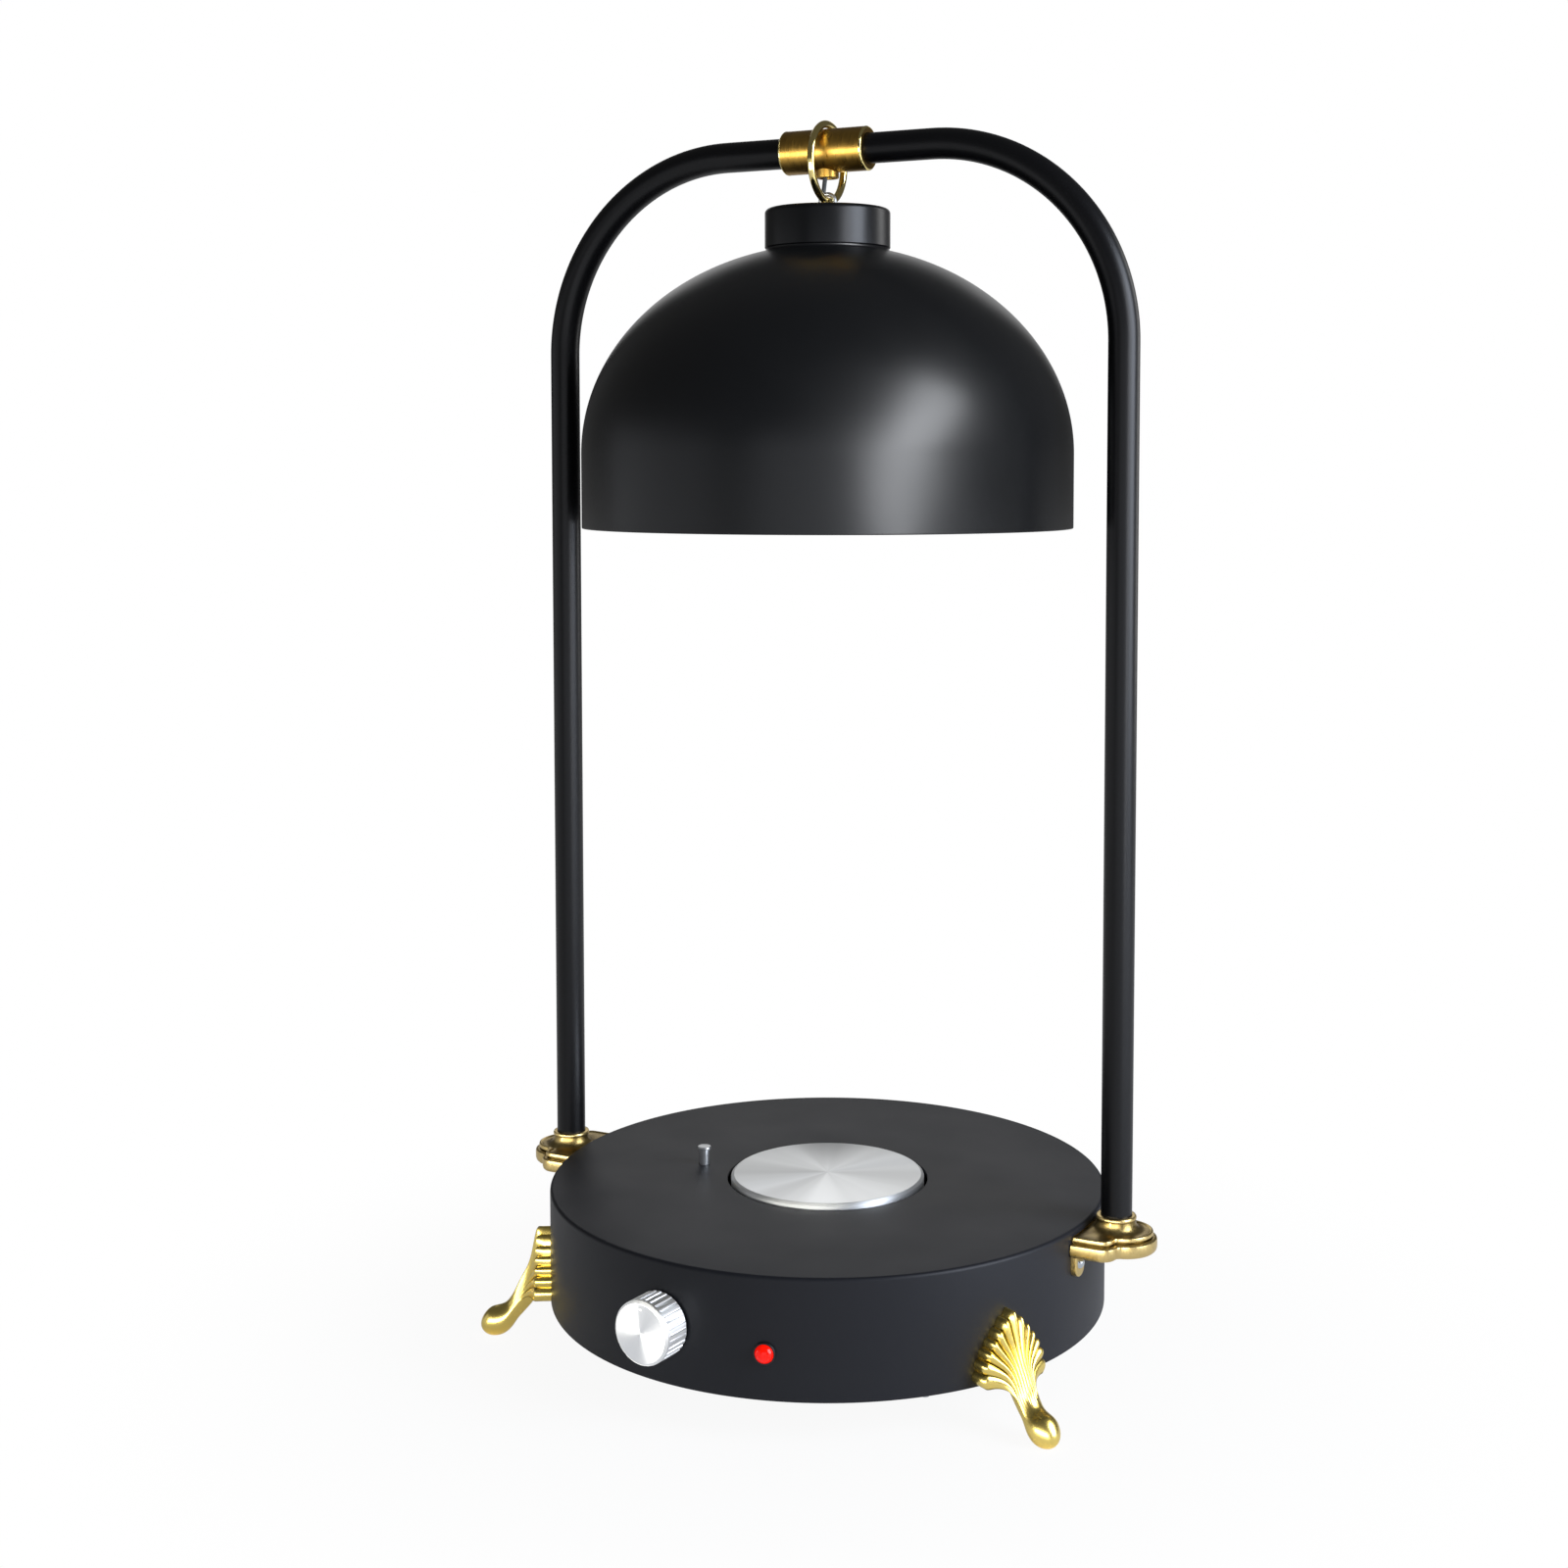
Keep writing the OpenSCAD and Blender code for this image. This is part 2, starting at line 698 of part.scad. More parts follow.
module switch_bracket() {
    color("silver") translate([-pin_x, -pin_y, 0]) difference() {
        union() {
            translate([-switch_bracket_w / 2, -switch_leg - switch_bracket_t, switch_low - switch_bracket_t])
                cube([switch_bracket_w, 2 * (switch_leg + switch_bracket_t), switch_bracket_t]);
            for (s = [0, 180]) rotate([0, 0, s]) {
                translate([-switch_bracket_w / 2, switch_leg, switch_low - switch_bracket_t])
                    cube([switch_bracket_w, switch_bracket_t, under_top - switch_low + switch_bracket_t]);
                translate([-switch_bracket_w / 2, switch_leg, under_top - switch_bracket_t])
                    cube([switch_bracket_w, switch_flange, switch_bracket_t]);
            }
        }
        for (s = [-1, 1]) translate([0, s * switch_stud, under_top - switch_bracket_t - cut])
            cylinder(d = m4 + screw_clearance, h = switch_bracket_t + 2 * cut);
    }
}

// Knob and dimmer

module control_knob() {
    color("#dfe1e3") on_wall(knob_angle, knob_z) translate([0, 0, knob_gap]) difference() {
        rotate_extrude() polygon([
            [0, 0], [knob_d / 2 - knob_chamfer / 2, 0], [knob_d / 2, knob_chamfer / 2],
            [knob_d / 2, knob_h - knob_chamfer], [knob_d / 2 - knob_chamfer, knob_h], [0, knob_h]
        ]);
        for (i = [0:flute_n - 1]) rotate([0, 0, 360 * i / flute_n])
            translate([knob_d / 2 + flute_d / 4, 0, -cut])
                cylinder(d = flute_d, h = knob_h - knob_ring + cut);
        translate([0, 0, -cut]) cylinder(d = knob_recess_d, h = knob_recess_h + cut);
        cylinder(d = shaft_d + screw_clearance, h = shaft_out - knob_gap + screw_clearance);
        translate([0, 0, grub_z - knob_gap]) rotate([90, 0, 0])
            cylinder(d = m3 + screw_clearance, h = knob_d);
        translate([0, dot_r, knob_h - dot_depth]) cylinder(d = dot_d, h = dot_depth + cut);
    }
}

module knob_shaft() {
    color("#c9a14a") on_wall(knob_angle, knob_z) translate([0, 0, -dimmer_face - shaft_in])
        cylinder(d = shaft_d, h = shaft_out + dimmer_face + shaft_in);
}

module knob_grub_screw() {
    color("#555555") on_wall(knob_angle, knob_z) translate([0, -shaft_d / 2 - seat_gap, grub_z])
        rotate([90, 0, 0]) cylinder(d = m3, h = knob_d / 2 - shaft_d / 2 - flute_d);
}

module dimmer_body() {
    color("#8d9196") on_wall(knob_angle, knob_z) difference() {
        union() {
            translate([0, 0, -dimmer_face - dimmer_h]) cylinder(d = dimmer_d, h = dimmer_h);
            translate([0, 0, -dimmer_face - cut])
                cylinder(d = dimmer_neck_d, h = dimmer_face + cut + dimmer_nut_h + 1);
        }
        translate([0, 0, -dimmer_face - shaft_in - pin_clearance])
            cylinder(d = shaft_d + 2 * pin_clearance, h = dimmer_face + shaft_in + knob_h);
    }
}

module dimmer_nut() {
    color("silver") on_wall(knob_angle, knob_z) translate([0, 0, seat_gap])
        hex_nut(dimmer_neck_d, dimmer_nut_h, dimmer_nut_af);
}

// Indicator

module indicator_lens() {
    color("#e02a1c") on_wall(lens_angle, lens_z) translate([0, 0, bezel_t + seat_gap])
        dome_head(lens_d, lens_h);
}

module indicator_body() {
    color("#151617") on_wall(lens_angle, lens_z) union() {
        translate([0, 0, seat_gap]) cylinder(d = bezel_d, h = bezel_t);
        translate([0, 0, -indicator_len])
            cylinder(d = indicator_d, h = indicator_len + seat_gap + bezel_t / 2);
    }
}

module indicator_nut() {
    color("silver") on_wall(lens_angle, lens_z) translate([0, 0, -indicator_nut_face - indicator_nut_h])
        hex_nut(indicator_d, indicator_nut_h, indicator_nut_af);
}

// Mains entry

module cord_bush() {
    color("#17181a") on_wall(bush_angle, bush_z) difference() {
        union() {
            translate([0, 0, seat_gap]) cylinder(d = bush_flange_d, h = bush_flange_t);
            translate([0, 0, -bush_grip]) cylinder(d = bush_d, h = bush_grip + seat_gap + bush_flange_t / 2);
            translate([0, 0, -bush_grip - bush_inner_t]) cylinder(d = bush_flange_d, h = bush_inner_t);
        }
        translate([0, 0, -bush_grip - bush_inner_t - cut])
            cylinder(d = bush_bore, h = bush_grip + bush_inner_t + bush_flange_t + seat_gap + 2 * cut);
    }
}

module terminal_block() {
    way = terminal_size[0] / 4;
    color("#ece7d8") translate([0, terminal_y, plate_top]) difference() {
        translate([-terminal_size[0] / 2, -terminal_size[1] / 2, 0]) cube(terminal_size);
        translate([0, 0, -cut]) cylinder(d = m4 + screw_clearance, h = terminal_size[2] + 2 * cut);
        for (s = [-1, 1]) translate([s * way, 0, terminal_size[2] / 2]) {
            rotate([90, 0, 0]) cylinder(d = m4, h = terminal_size[1] + 2 * cut, center = true);
            cylinder(d = m4, h = terminal_size[2]);
        }
    }
}

module terminal_screw() {
    color("silver") translate([0, terminal_y, plate_top + terminal_size[2]])
        domed_screw(m4, terminal_size[2] + plate_t + cut);
}

// Feet: a fluted palmette, laid out in rays about the neck's root, and a neck that
// follows a bent line down to the round toe. Both are cut to the drum's wall and the table.

fan_cols = 4 * fan_flutes;
fan_rows = 6;
fan_spread = 100;
fan_root_x = drum_r + 18;
fan_back_x = drum_r - 4;
neck_rings = 18;
neck_sides = 18;
toe_tip_x = drum_r + toe_reach;
neck_line = [
    [drum_r + 8.5, fan_root_z + 3], [drum_r + 16, 18],
    [toe_tip_x - 0.75 * toe_len, 0.47 * toe_h], [toe_tip_x, 0.31 * toe_h]
];
neck_thin = 0.45;
wall_facets = 360;
toe_full = 0.76;

function mix(a, b, t) = a + (b - a) * t;
function ease(t) = let (c = min(1, max(0, t))) c * c * (3 - 2 * c);

// Palmette: t runs from -1 to 1 across the rays, s from 0 at the root to 1 at the edge
function ray_angle(t) = fan_spread * t * (0.7 + 0.3 * t * t);
function ray_len(a) = let (side = fan_half_w - 0.5)
    side + (foot_h - fan_scallop - fan_root_z - side) * exp(-pow(abs(a) / 24, 1.2));
function ripple(t) = cos(180 * t * fan_flutes);
function fan_point(s, t) =
    let (a = ray_angle(t), reach = ray_len(a) + fan_scallop * ripple(t) * s)
    let (up = (reach * cos(a) + 4) / (foot_h - fan_root_z + 4))
    let (edge = drum_r + mix(fan_edge_t + 3, fan_edge_t, up))
    let (bulge = (fan_root_x - edge) * pow(1 - s, mix(1.4, 1.7, abs(sin(a)))))
    [edge + bulge + fan_depth * ripple(t) * pow(s, 0.7), s * reach * sin(a), fan_root_z + s * reach * cos(a)];

module palmette() {
    n = fan_cols;
    m = fan_rows;
    row = n + 1;
    front = [for (i = [1:m], j = [0:n]) fan_point(i / m, -1 + 2 * j / n)];
    edge = [for (j = [0:n]) let (p = fan_point(1, -1 + 2 * j / n)) [fan_back_x, p[1], p[2]]];
    points = concat([[fan_root_x, 0, fan_root_z]], front, edge, [[fan_back_x, 0, fan_root_z]]);
    back = 1 + m * row;
    last = back + row;
    faces = concat(
        [for (j = [0:n - 1]) [0, 1 + j, 2 + j]],
        [for (i = [0:m - 2], j = [0:n - 1]) let (q = 1 + i * row + j)
            each [[q, q + row, q + row + 1], [q, q + row + 1, q + 1]]],
        [for (j = [0:n - 1]) let (q = 1 + (m - 1) * row + j)
            each [[q, back + j, back + j + 1], [q, back + j + 1, q + 1]]],
        [concat([0, last, back], [for (i = [m - 1:-1:0]) 1 + i * row])],
        [concat([for (i = [0:m - 1]) 1 + i * row + n], [back + n, last, 0])],
        [concat([last], [for (j = [n:-1:0]) back + j])]
    );
    polyhedron(points, faces);
}

// Neck and toe: rings square to a bent line
function neck_at(t) = let (u = 1 - t)
    u * u * u * neck_line[0] + 3 * u * u * t * neck_line[1]
    + 3 * u * t * t * neck_line[2] + t * t * t * neck_line[3];
function neck_dir(t) = let (u = 1 - t)
    let (d = u * u * (neck_line[1] - neck_line[0]) + 2 * u * t * (neck_line[2] - neck_line[1])
        + t * t * (neck_line[3] - neck_line[2]))
    d / norm(d);
function toe_round(t) = t < toe_full ? 1 : sqrt(max(0.0004, 1 - pow((t - toe_full) / (1 - toe_full), 2)));
function neck_size(t, top, thin, toe) = toe_round(t) * (t < neck_thin
    ? mix(top, thin, ease(t / neck_thin))
    : mix(thin, toe, ease((t - neck_thin) / (toe_full - neck_thin))));
function neck_ring(t) =
    let (c = neck_at(t), d = neck_dir(t))
    let (h = neck_size(t, neck_deep / 2 + 1.3, neck_deep / 2, toe_h / 2 + 0.3))
    let (w = neck_size(t, neck_w / 2 + 0.5, neck_w / 2, toe_w / 2))
    [for (j = [0:neck_sides - 1]) let (a = 360 * j / neck_sides)
        [c[0] - d[1] * h * cos(a), w * sin(a), c[1] + d[0] * h * cos(a)]];

// Steps along the neck, closer together towards the toe's tip
function neck_step(t) = t < toe_full ? t
    : mix(toe_full, 1, sin(90 * (t - toe_full) / (1 - toe_full)));

module neck_and_toe() {
    rings = [for (i = [0:neck_rings]) neck_ring(neck_step(i / neck_rings))];
    n = neck_sides;
    faces = concat(
        [[for (j = [n - 1:-1:0]) j]],
        [for (i = [0:neck_rings - 1], j = [0:n - 1]) let (k = (j + 1) % n)
            each [[i * n + j, i * n + k, (i + 1) * n + k], [i * n + j, (i + 1) * n + k, (i + 1) * n + j]]],
        [[for (j = [0:n - 1]) neck_rings * n + j]]
    );
    polyhedron([for (r = rings) each r], faces);
}

foot_screw_len = 6;

// The casting, cut to the wall and the table and set to its height in one step
module foot_casting() {
    resize([0, 0, foot_h]) difference() {
        union() {
            palmette();
            neck_and_toe();
        }
        cylinder(r = drum_r + seat_gap, h = 2 * drum_top, $fn = wall_facets);
        translate([0, -drum_r, -2 * cut]) cube([drum_d, drum_d, 2 * cut]);
    }
}

module foot(angle) {
    color("#e3b93c") difference() {
        rotate([0, 0, angle - 90]) foot_casting();
        for (up = [0, 1]) on_wall(angle, foot_screw_z + up * foot_screw_gap)
            translate([0, 0, -cut]) cylinder(d = foot_screw_d + screw_clearance, h = cut + foot_screw_len);
    }
}

module foot_front_left() {
    foot(-foot_angle);
}

module foot_front_right() {
    foot(foot_angle);
}

module foot_rear() {
    foot(180);
}

module foot_screws() {
    seat = sheet_t + sag(drum_in_r, pan_d(foot_screw_d) / 2) + seat_gap;
    color("silver") for (a = [-foot_angle, foot_angle, 180], up = [0, 1])
        on_wall(a, foot_screw_z + up * foot_screw_gap) translate([0, 0, -seat]) rotate([180, 0, 0])
            domed_screw(foot_screw_d, seat + foot_screw_len - 0.5);
}

// Brackets

// Plan of a bracket at the right post, grown by g: a wide part and a round nose
module bracket_plan(g) {
    corner = 6;
    x_in = drum_r - 8;
    x_out = post_x + bracket_reach + g;
    half = bracket_half_w + g;
    translate([x_in, -half]) square([x_out - corner - x_in, 2 * half]);
    translate([x_in, -half + corner]) square([x_out - x_in, 2 * (half - corner)]);
    for (s = [-1, 1]) translate([x_out - corner, s * (half - corner)]) circle(corner);
    translate([post_x + nose_off, 0]) circle(nose_r + g);
}

module boss() {
    low = bracket_top - upper_h / 2;
    r = boss_d / 2;
    waist = r - 0.5;
    rise = boss_h - collar_ring_h;
    flare = [for (i = [0:8]) let (a = 90 * i / 8)
        [waist + boss_flare * (1 - sin(a)), bracket_top + rise * (1 - cos(a))]];
    translate([post_x, 0, 0]) rotate_extrude() polygon(concat(
        [[0, low], [waist + boss_flare, low]], flare,
        [[r, bracket_top + rise + 0.3], [r, boss_top - 0.5], [waist, boss_top], [0, boss_top]]
    ));
}

module bracket_lug(side) {
    up = bracket_low + lower_h / 2 - lug_z;
    on_wall(90 + side * lug_angle, lug_z) translate([0, 0, -cut]) linear_extrude(lug_t + cut) {
        translate([0, -lug_tail]) circle(d = lug_w);
        translate([-lug_w / 2, -lug_tail]) square([lug_w, up + lug_tail]);
    }
}

module bracket(wired) {
    color("#b08d45") difference() {
        union() {
            translate([0, 0, bracket_low]) linear_extrude(lower_h) bracket_plan(moulding_step);
            translate([0, 0, bracket_low + lower_h - cut]) linear_extrude(groove_h + 2 * cut)
                bracket_plan(-groove_depth);
            translate([0, 0, bracket_top - upper_h]) linear_extrude(upper_h) bracket_plan(0);
            boss();
            for (s = [-1, 1]) bracket_lug(s);
        }
        cylinder(r = drum_r + seat_gap, h = 2 * drum_top, $fn = 128);
        translate([post_x, 0, socket_floor]) cylinder(d = socket_d, h = boss_top);
        translate([post_x, 0, tube_grub_z]) rotate([-90, 0, 0])
            cylinder(d = m4 + screw_clearance, h = 2 * bracket_half_w);
        for (s = [-1, 1]) on_wall(90 + s * lug_angle, lug_z) translate([0, 0, -cut])
            cylinder(d = bracket_screw_d + screw_clearance, h = lug_t + 2 * cut);
        if (wired) translate([drum_r - cut, 0, wireway_z]) rotate([0, 90, 0])
            cylinder(d = wireway_d, h = post_off + cut);
    }
}

module bracket_left() {
    mirror([1, 0, 0]) bracket(false);
}

module bracket_right() {
    bracket(true);
}

module bracket_screws() {
    color("silver") for (side = [90, -90], lug = [-1, 1])
        on_wall(side + lug * lug_angle, lug_z) translate([0, 0, lug_t])
            domed_screw(bracket_screw_d, lug_t + sheet_t + nut_h(bracket_screw_d) + 1.5);
}

module bracket_nuts() {
    seat = sheet_t + sag(drum_in_r, nut_af(bracket_screw_d) / cos(30) / 2) + seat_gap;
    color("silver") for (side = [90, -90], lug = [-1, 1])
        on_wall(side + lug * lug_angle, lug_z) translate([0, 0, -seat - nut_h(bracket_screw_d)])
            hex_nut(bracket_screw_d, nut_h(bracket_screw_d), nut_af(bracket_screw_d));
}

// Hoop

// Half of the hoop, on the right: post, bend and crown
module half_hoop(d, bore, low, end) {
    translate([post_x, 0, low]) tube_piece(d, bore, post_top - low);
    translate([crown_half, 0, post_top]) rotate([90, 0, 0]) rotate_extrude(angle = 90)
        translate([bend_r, 0]) difference() {
            circle(d = d);
            circle(d = bore);
        }
    translate([end, 0, hoop_z]) rotate([0, 90, 0]) tube_piece(d, bore, crown_half - end);
}

module tube_right() {
    color("#1d1e21") difference() {
        half_hoop(tube_d, tube_in_d, post_low, tube_end_gap / 2);
        translate([drum_r, 0, wireway_z]) rotate([0, 90, 0]) cylinder(d = wireway_d, h = post_off);
    }
}

module tube_left() {
    color("#1d1e21") rotate([0, 0, 180]) half_hoop(tube_d, tube_in_d, post_low, tube_end_gap / 2);
}

module tube_grub_screws() {
    color("#555555") for (s = [-1, 1])
        translate([s * post_x, tube_d / 2 + seat_gap, tube_grub_z]) rotate([-90, 0, 0])
            cylinder(d = m4, h = tube_grub_len);
}

module tube_joiner() {
    color("silver") translate([0, 0, hoop_z]) difference() {
        translate([-joiner_len / 2, 0, 0]) rotate([0, 90, 0])
            tube_piece(joiner_d, joiner_d - 2 * joiner_wall, joiner_len);
        translate([0, 0, -tube_d]) cylinder(d = cup_bore, h = tube_d);
    }
}

module hoop_sleeve() {
    half = sleeve_len / 2;
    color("#a5813c") translate([0, 0, hoop_z]) difference() {
        rotate([0, 90, 0]) rotate_extrude() polygon([
            [socket_d / 2, -half], [sleeve_d / 2 - sleeve_chamfer, -half],
            [sleeve_d / 2, -half + sleeve_chamfer], [sleeve_d / 2, half - sleeve_chamfer],
            [sleeve_d / 2 - sleeve_chamfer, half], [socket_d / 2, half]
        ]);
        translate([0, 0, -sleeve_d]) cylinder(d = cup_bore + 2 * joiner_wall + screw_clearance, h = sleeve_d);
    }
}

module outlet_cup() {
    neck_top = hoop_z - socket_d / 2;
    color("#a5813c") difference() {
        union() {
            difference() {
                translate([0, 0, cup_low]) cylinder(d = cup_d, h = cup_drop + sleeve_d / 4);
                translate([-cup_d, 0, hoop_z]) rotate([0, 90, 0])
                    cylinder(d = sleeve_d + 2 * seat_gap, h = 2 * cup_d);
            }
            translate([0, 0, cup_low]) cylinder(d = cup_bore + 2 * joiner_wall, h = neck_top - cup_low);
        }
        translate([0, 0, cup_low - cut]) cylinder(d = cup_bore, h = sleeve_d);
    }
}

// Lamp lead: inside the right tube, then the short free drop to the cap

module lamp_lead_inner() {
    start = drum_in_r - 8;
    color("#6f7274") union() {
        half_hoop(lead_d, 0, wireway_z, lead_out[0]);
        translate([start, 0, wireway_z]) rotate([0, 90, 0]) cylinder(d = lead_d, h = post_x - start);
        translate([post_x, 0, wireway_z]) sphere(d = lead_d);
        translate([lead_out[0], 0, hoop_z]) sphere(d = lead_d);
        translate([lead_out[0], lead_out[1], lead_join_z]) cylinder(d = lead_d, h = hoop_z - lead_join_z);
    }
}

module lamp_lead_drop() {
    from = [lead_in[0], lead_in[1], lead_low_z];
    run = [lead_out[0], lead_out[1], lead_join_z] - from;
    color("#6f7274") translate(from)
        rotate([0, acos(run[2] / norm(run)), atan2(run[1], run[0])]) cylinder(d = lead_d, h = norm(run));
}

// Ring, cap and shade

module hanger_ring() {
    color("#d9ab3a") translate([0, 0, ring_z]) rotate([0, 90, 0]) rotate_extrude()
        translate([ring_r, 0]) circle(d = ring_wire);
}

module cap_eye() {
    color("#c9cbcd") union() {
        translate([0, 0, eye_z]) rotate([90, 0, 0]) rotate_extrude()
            translate([eye_r, 0]) circle(d = eye_wire);
        translate([0, 0, eye_shank_low]) cylinder(d = eye_shank_d, h = eye_z - eye_bore / 2 - eye_shank_low);
    }
}

module eye_nut() {
    color("silver") translate([0, 0, crown_low - nut_h(eye_shank_d)])
        hex_nut(eye_shank_d, nut_h(eye_shank_d), nut_af(eye_shank_d));
}

module shade_cap() {
    r = cap_d / 2;
    lead_hole = lead_at(cap_top - cap_roof / 2);
    color("#2a2b2e") difference() {
        rotate_extrude() polygon(concat(
            [[cap_in_r, cap_low], [r - cap_foot, cap_low], [r, cap_low + cap_foot]],
            arc(r - cap_edge_r, cap_top - cap_edge_r, cap_edge_r, 0, 90, 6),
            [[cap_hole_r, cap_top], [cap_hole_r, cap_top - cap_roof], [cap_in_r, cap_top - cap_roof]]
        ));
        translate([lead_hole[0], lead_hole[1], cap_top - cap_roof - cut])
            cylinder(d = lead_hole_d, h = cap_roof + 2 * cut);
    }
}

// The dome's outline from the rim up to the crown, for a shell of radius a and rise b
function dome_line(a, b, from_r) =
    let (end = acos(from_r / a))
    [for (i = [0:dome_steps]) let (t = end * i / dome_steps) [a * cos(t), shade_spring + b * sin(t)]];

module shade_dome() {
    inner = dome_line(shade_r - shade_t, dome_h - shade_t, crown_r);
    hole = eye_shank_d / 2 + screw_clearance / 2;
    f = shade_neck_fillet;
    color("#232427") difference() {
        rotate_extrude() polygon(concat(
            [[shade_r - shade_t, shade_rim], [shade_r, shade_rim]],
            dome_line(shade_r, dome_h, shade_neck_r + f),
            arc(shade_neck_r + f, crown_top - neck_rise + f, f, 270, 180, 5),
            [[shade_neck_r, crown_top], [hole, crown_top], [hole, crown_low], [crown_r, crown_low]],
            [for (i = [len(inner) - 1:-1:0]) inner[i]]
        ));
        for (s = [-1, 1]) translate([s * holder_screw_r, 0, crown_low - cut])
            cylinder(d = m4 + screw_clearance, h = shade_t + 2 * cut);
    }
}

// Lamp

module lamp_holder() {
    color("#f2efe6") difference() {
        translate([0, 0, holder_low]) cylinder(d = holder_d, h = holder_h);
        translate([0, 0, holder_low - cut]) cylinder(d = socket_wall_d, h = bulb_base_h + cut);
        translate([0, 0, holder_top - eye_nut_pocket_h])
            cylinder(d = nut_af(eye_shank_d) / cos(30) + 2, h = eye_nut_pocket_h + cut);
        for (s = [-1, 1]) translate([s * holder_screw_r, 0, holder_top - holder_screw_len])
            cylinder(d = m4 + screw_clearance, h = holder_screw_len + cut);
    }
}

module holder_screws() {
    color("silver") for (s = [-1, 1]) translate([s * holder_screw_r, 0, crown_top])
        domed_screw(m4, holder_screw_len - 1);
}

module bulb_base() {
    color("#c8c2ae") translate([0, 0, bulb_base_low]) union() {
        cylinder(d = bulb_base_d, h = bulb_base_h - 4);
        translate([0, 0, bulb_base_h - 4 - cut]) cylinder(d1 = bulb_base_d, d2 = 10, h = 3 + cut);
    }
}

module bulb_glass() {
    r = bulb_d / 2;
    neck = bulb_base_d / 2;
    face = bulb_low + r * 0.42;
    top = bulb_base_low;
    function half_glass(g) = concat(
        [for (p = arc(0, face, r - g, -90, 0, 12)) [p[0], max(bulb_low + g, p[1])]],
        [for (i = [1:10]) let (t = i / 10) [mix(r, neck, ease(t)) - g, mix(face, top, t)]]
    );
    color("#e9e6df") rotate_extrude() difference() {
        polygon(concat([[0, top]], half_glass(0)));
        polygon(concat([[0, top + cut]], half_glass(glass_t)));
    }
}

// Draw the chosen node, or all of them

drum_shell();
bottom_plate();
plate_screws();
plate_weld_nuts();
heat_disc();
heating_element();
heater_clamp();
ceramic_spacers();
heater_screws();
heater_bridge();
top_studs();
stud_nuts();
thermal_cutout();
push_pin();
pin_spring();
pin_switch();
switch_bracket();
control_knob();
knob_shaft();
knob_grub_screw();
dimmer_body();
dimmer_nut();
indicator_lens();
indicator_body();
indicator_nut();
cord_bush();
terminal_block();
terminal_screw();
foot_front_left();
foot_front_right();
foot_rear();
foot_screws();
bracket_left();
bracket_right();
bracket_screws();
bracket_nuts();
tube_left();
tube_right();
tube_grub_screws();
tube_joiner();
hoop_sleeve();
outlet_cup();
lamp_lead_inner();
lamp_lead_drop();
hanger_ring();
cap_eye();
eye_nut();
shade_cap();
shade_dome();
lamp_holder();
holder_screws();
bulb_glass();
bulb_base();
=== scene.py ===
# %% [markdown]
# # A food heat lamp, dressed in Blender
# The lamp stands on a drum with a warming disc, and a dome shade hangs from a tube hoop by one
# ring. The imported model is a fixed frame in metres: every piece below is made where the frame
# has it and only makes the surfaces finer; all but the lamp lead ride on one of its bodies.

import json
import math

import bmesh
import bpy
from mathutils import Matrix, Quaternion, Vector

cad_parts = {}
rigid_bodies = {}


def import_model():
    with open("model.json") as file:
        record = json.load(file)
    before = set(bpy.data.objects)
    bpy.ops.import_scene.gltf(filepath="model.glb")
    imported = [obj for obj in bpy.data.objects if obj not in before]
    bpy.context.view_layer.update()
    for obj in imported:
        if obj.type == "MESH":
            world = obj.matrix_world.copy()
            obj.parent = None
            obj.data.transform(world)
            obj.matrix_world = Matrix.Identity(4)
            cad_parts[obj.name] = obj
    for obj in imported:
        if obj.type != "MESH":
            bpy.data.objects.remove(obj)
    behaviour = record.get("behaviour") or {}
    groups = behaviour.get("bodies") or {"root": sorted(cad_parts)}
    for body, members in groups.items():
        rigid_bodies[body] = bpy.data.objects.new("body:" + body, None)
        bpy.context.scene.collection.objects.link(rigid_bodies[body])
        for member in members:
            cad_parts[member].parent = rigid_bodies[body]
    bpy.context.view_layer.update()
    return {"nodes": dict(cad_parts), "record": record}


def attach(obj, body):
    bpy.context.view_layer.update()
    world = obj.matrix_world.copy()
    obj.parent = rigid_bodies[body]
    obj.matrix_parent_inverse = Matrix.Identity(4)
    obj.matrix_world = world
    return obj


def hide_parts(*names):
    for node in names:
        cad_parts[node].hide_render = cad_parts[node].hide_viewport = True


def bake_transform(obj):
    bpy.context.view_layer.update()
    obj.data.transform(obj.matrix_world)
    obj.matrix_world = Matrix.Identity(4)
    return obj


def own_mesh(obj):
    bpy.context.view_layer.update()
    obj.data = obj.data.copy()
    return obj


for leftover in list(bpy.data.objects):
    bpy.data.objects.remove(leftover)
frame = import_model()
nodes = frame["nodes"]
MM = 0.001

# %% [markdown]
# ## Camera
# The photograph was taken from the front right, a little above the shade's rim. Its posts stand
# upright in the frame, so the lens is shifted down more than it is tilted.

# %% Camera at the photograph's angle
CAMERA_TURN = math.radians(25.61)
CAMERA_TILT = math.radians(3.79)
CAMERA_AWAY, CAMERA_UP = 1.1587, 0.4681

lens = bpy.data.cameras.new("photo_camera")
lens.lens = 49.8
lens.shift_x, lens.shift_y = -0.0278, -0.11
camera = bpy.data.objects.new("photo_camera", lens)
camera.location = (CAMERA_AWAY * math.sin(CAMERA_TURN), -CAMERA_AWAY * math.cos(CAMERA_TURN), CAMERA_UP)
camera.rotation_euler = (math.pi / 2 - CAMERA_TILT, 0, CAMERA_TURN)
bpy.context.collection.objects.link(camera)
bpy.context.scene.camera = camera
bpy.context.scene.view_settings.view_transform = "Standard"
print("camera", tuple(round(v, 3) for v in camera.location))

# %% [markdown]
# ## Nodes and colours
# All finishes are node materials. One function turns a colour from the screen's hex value to the
# linear numbers that a shader works in, and one adds a node with its settings and links.

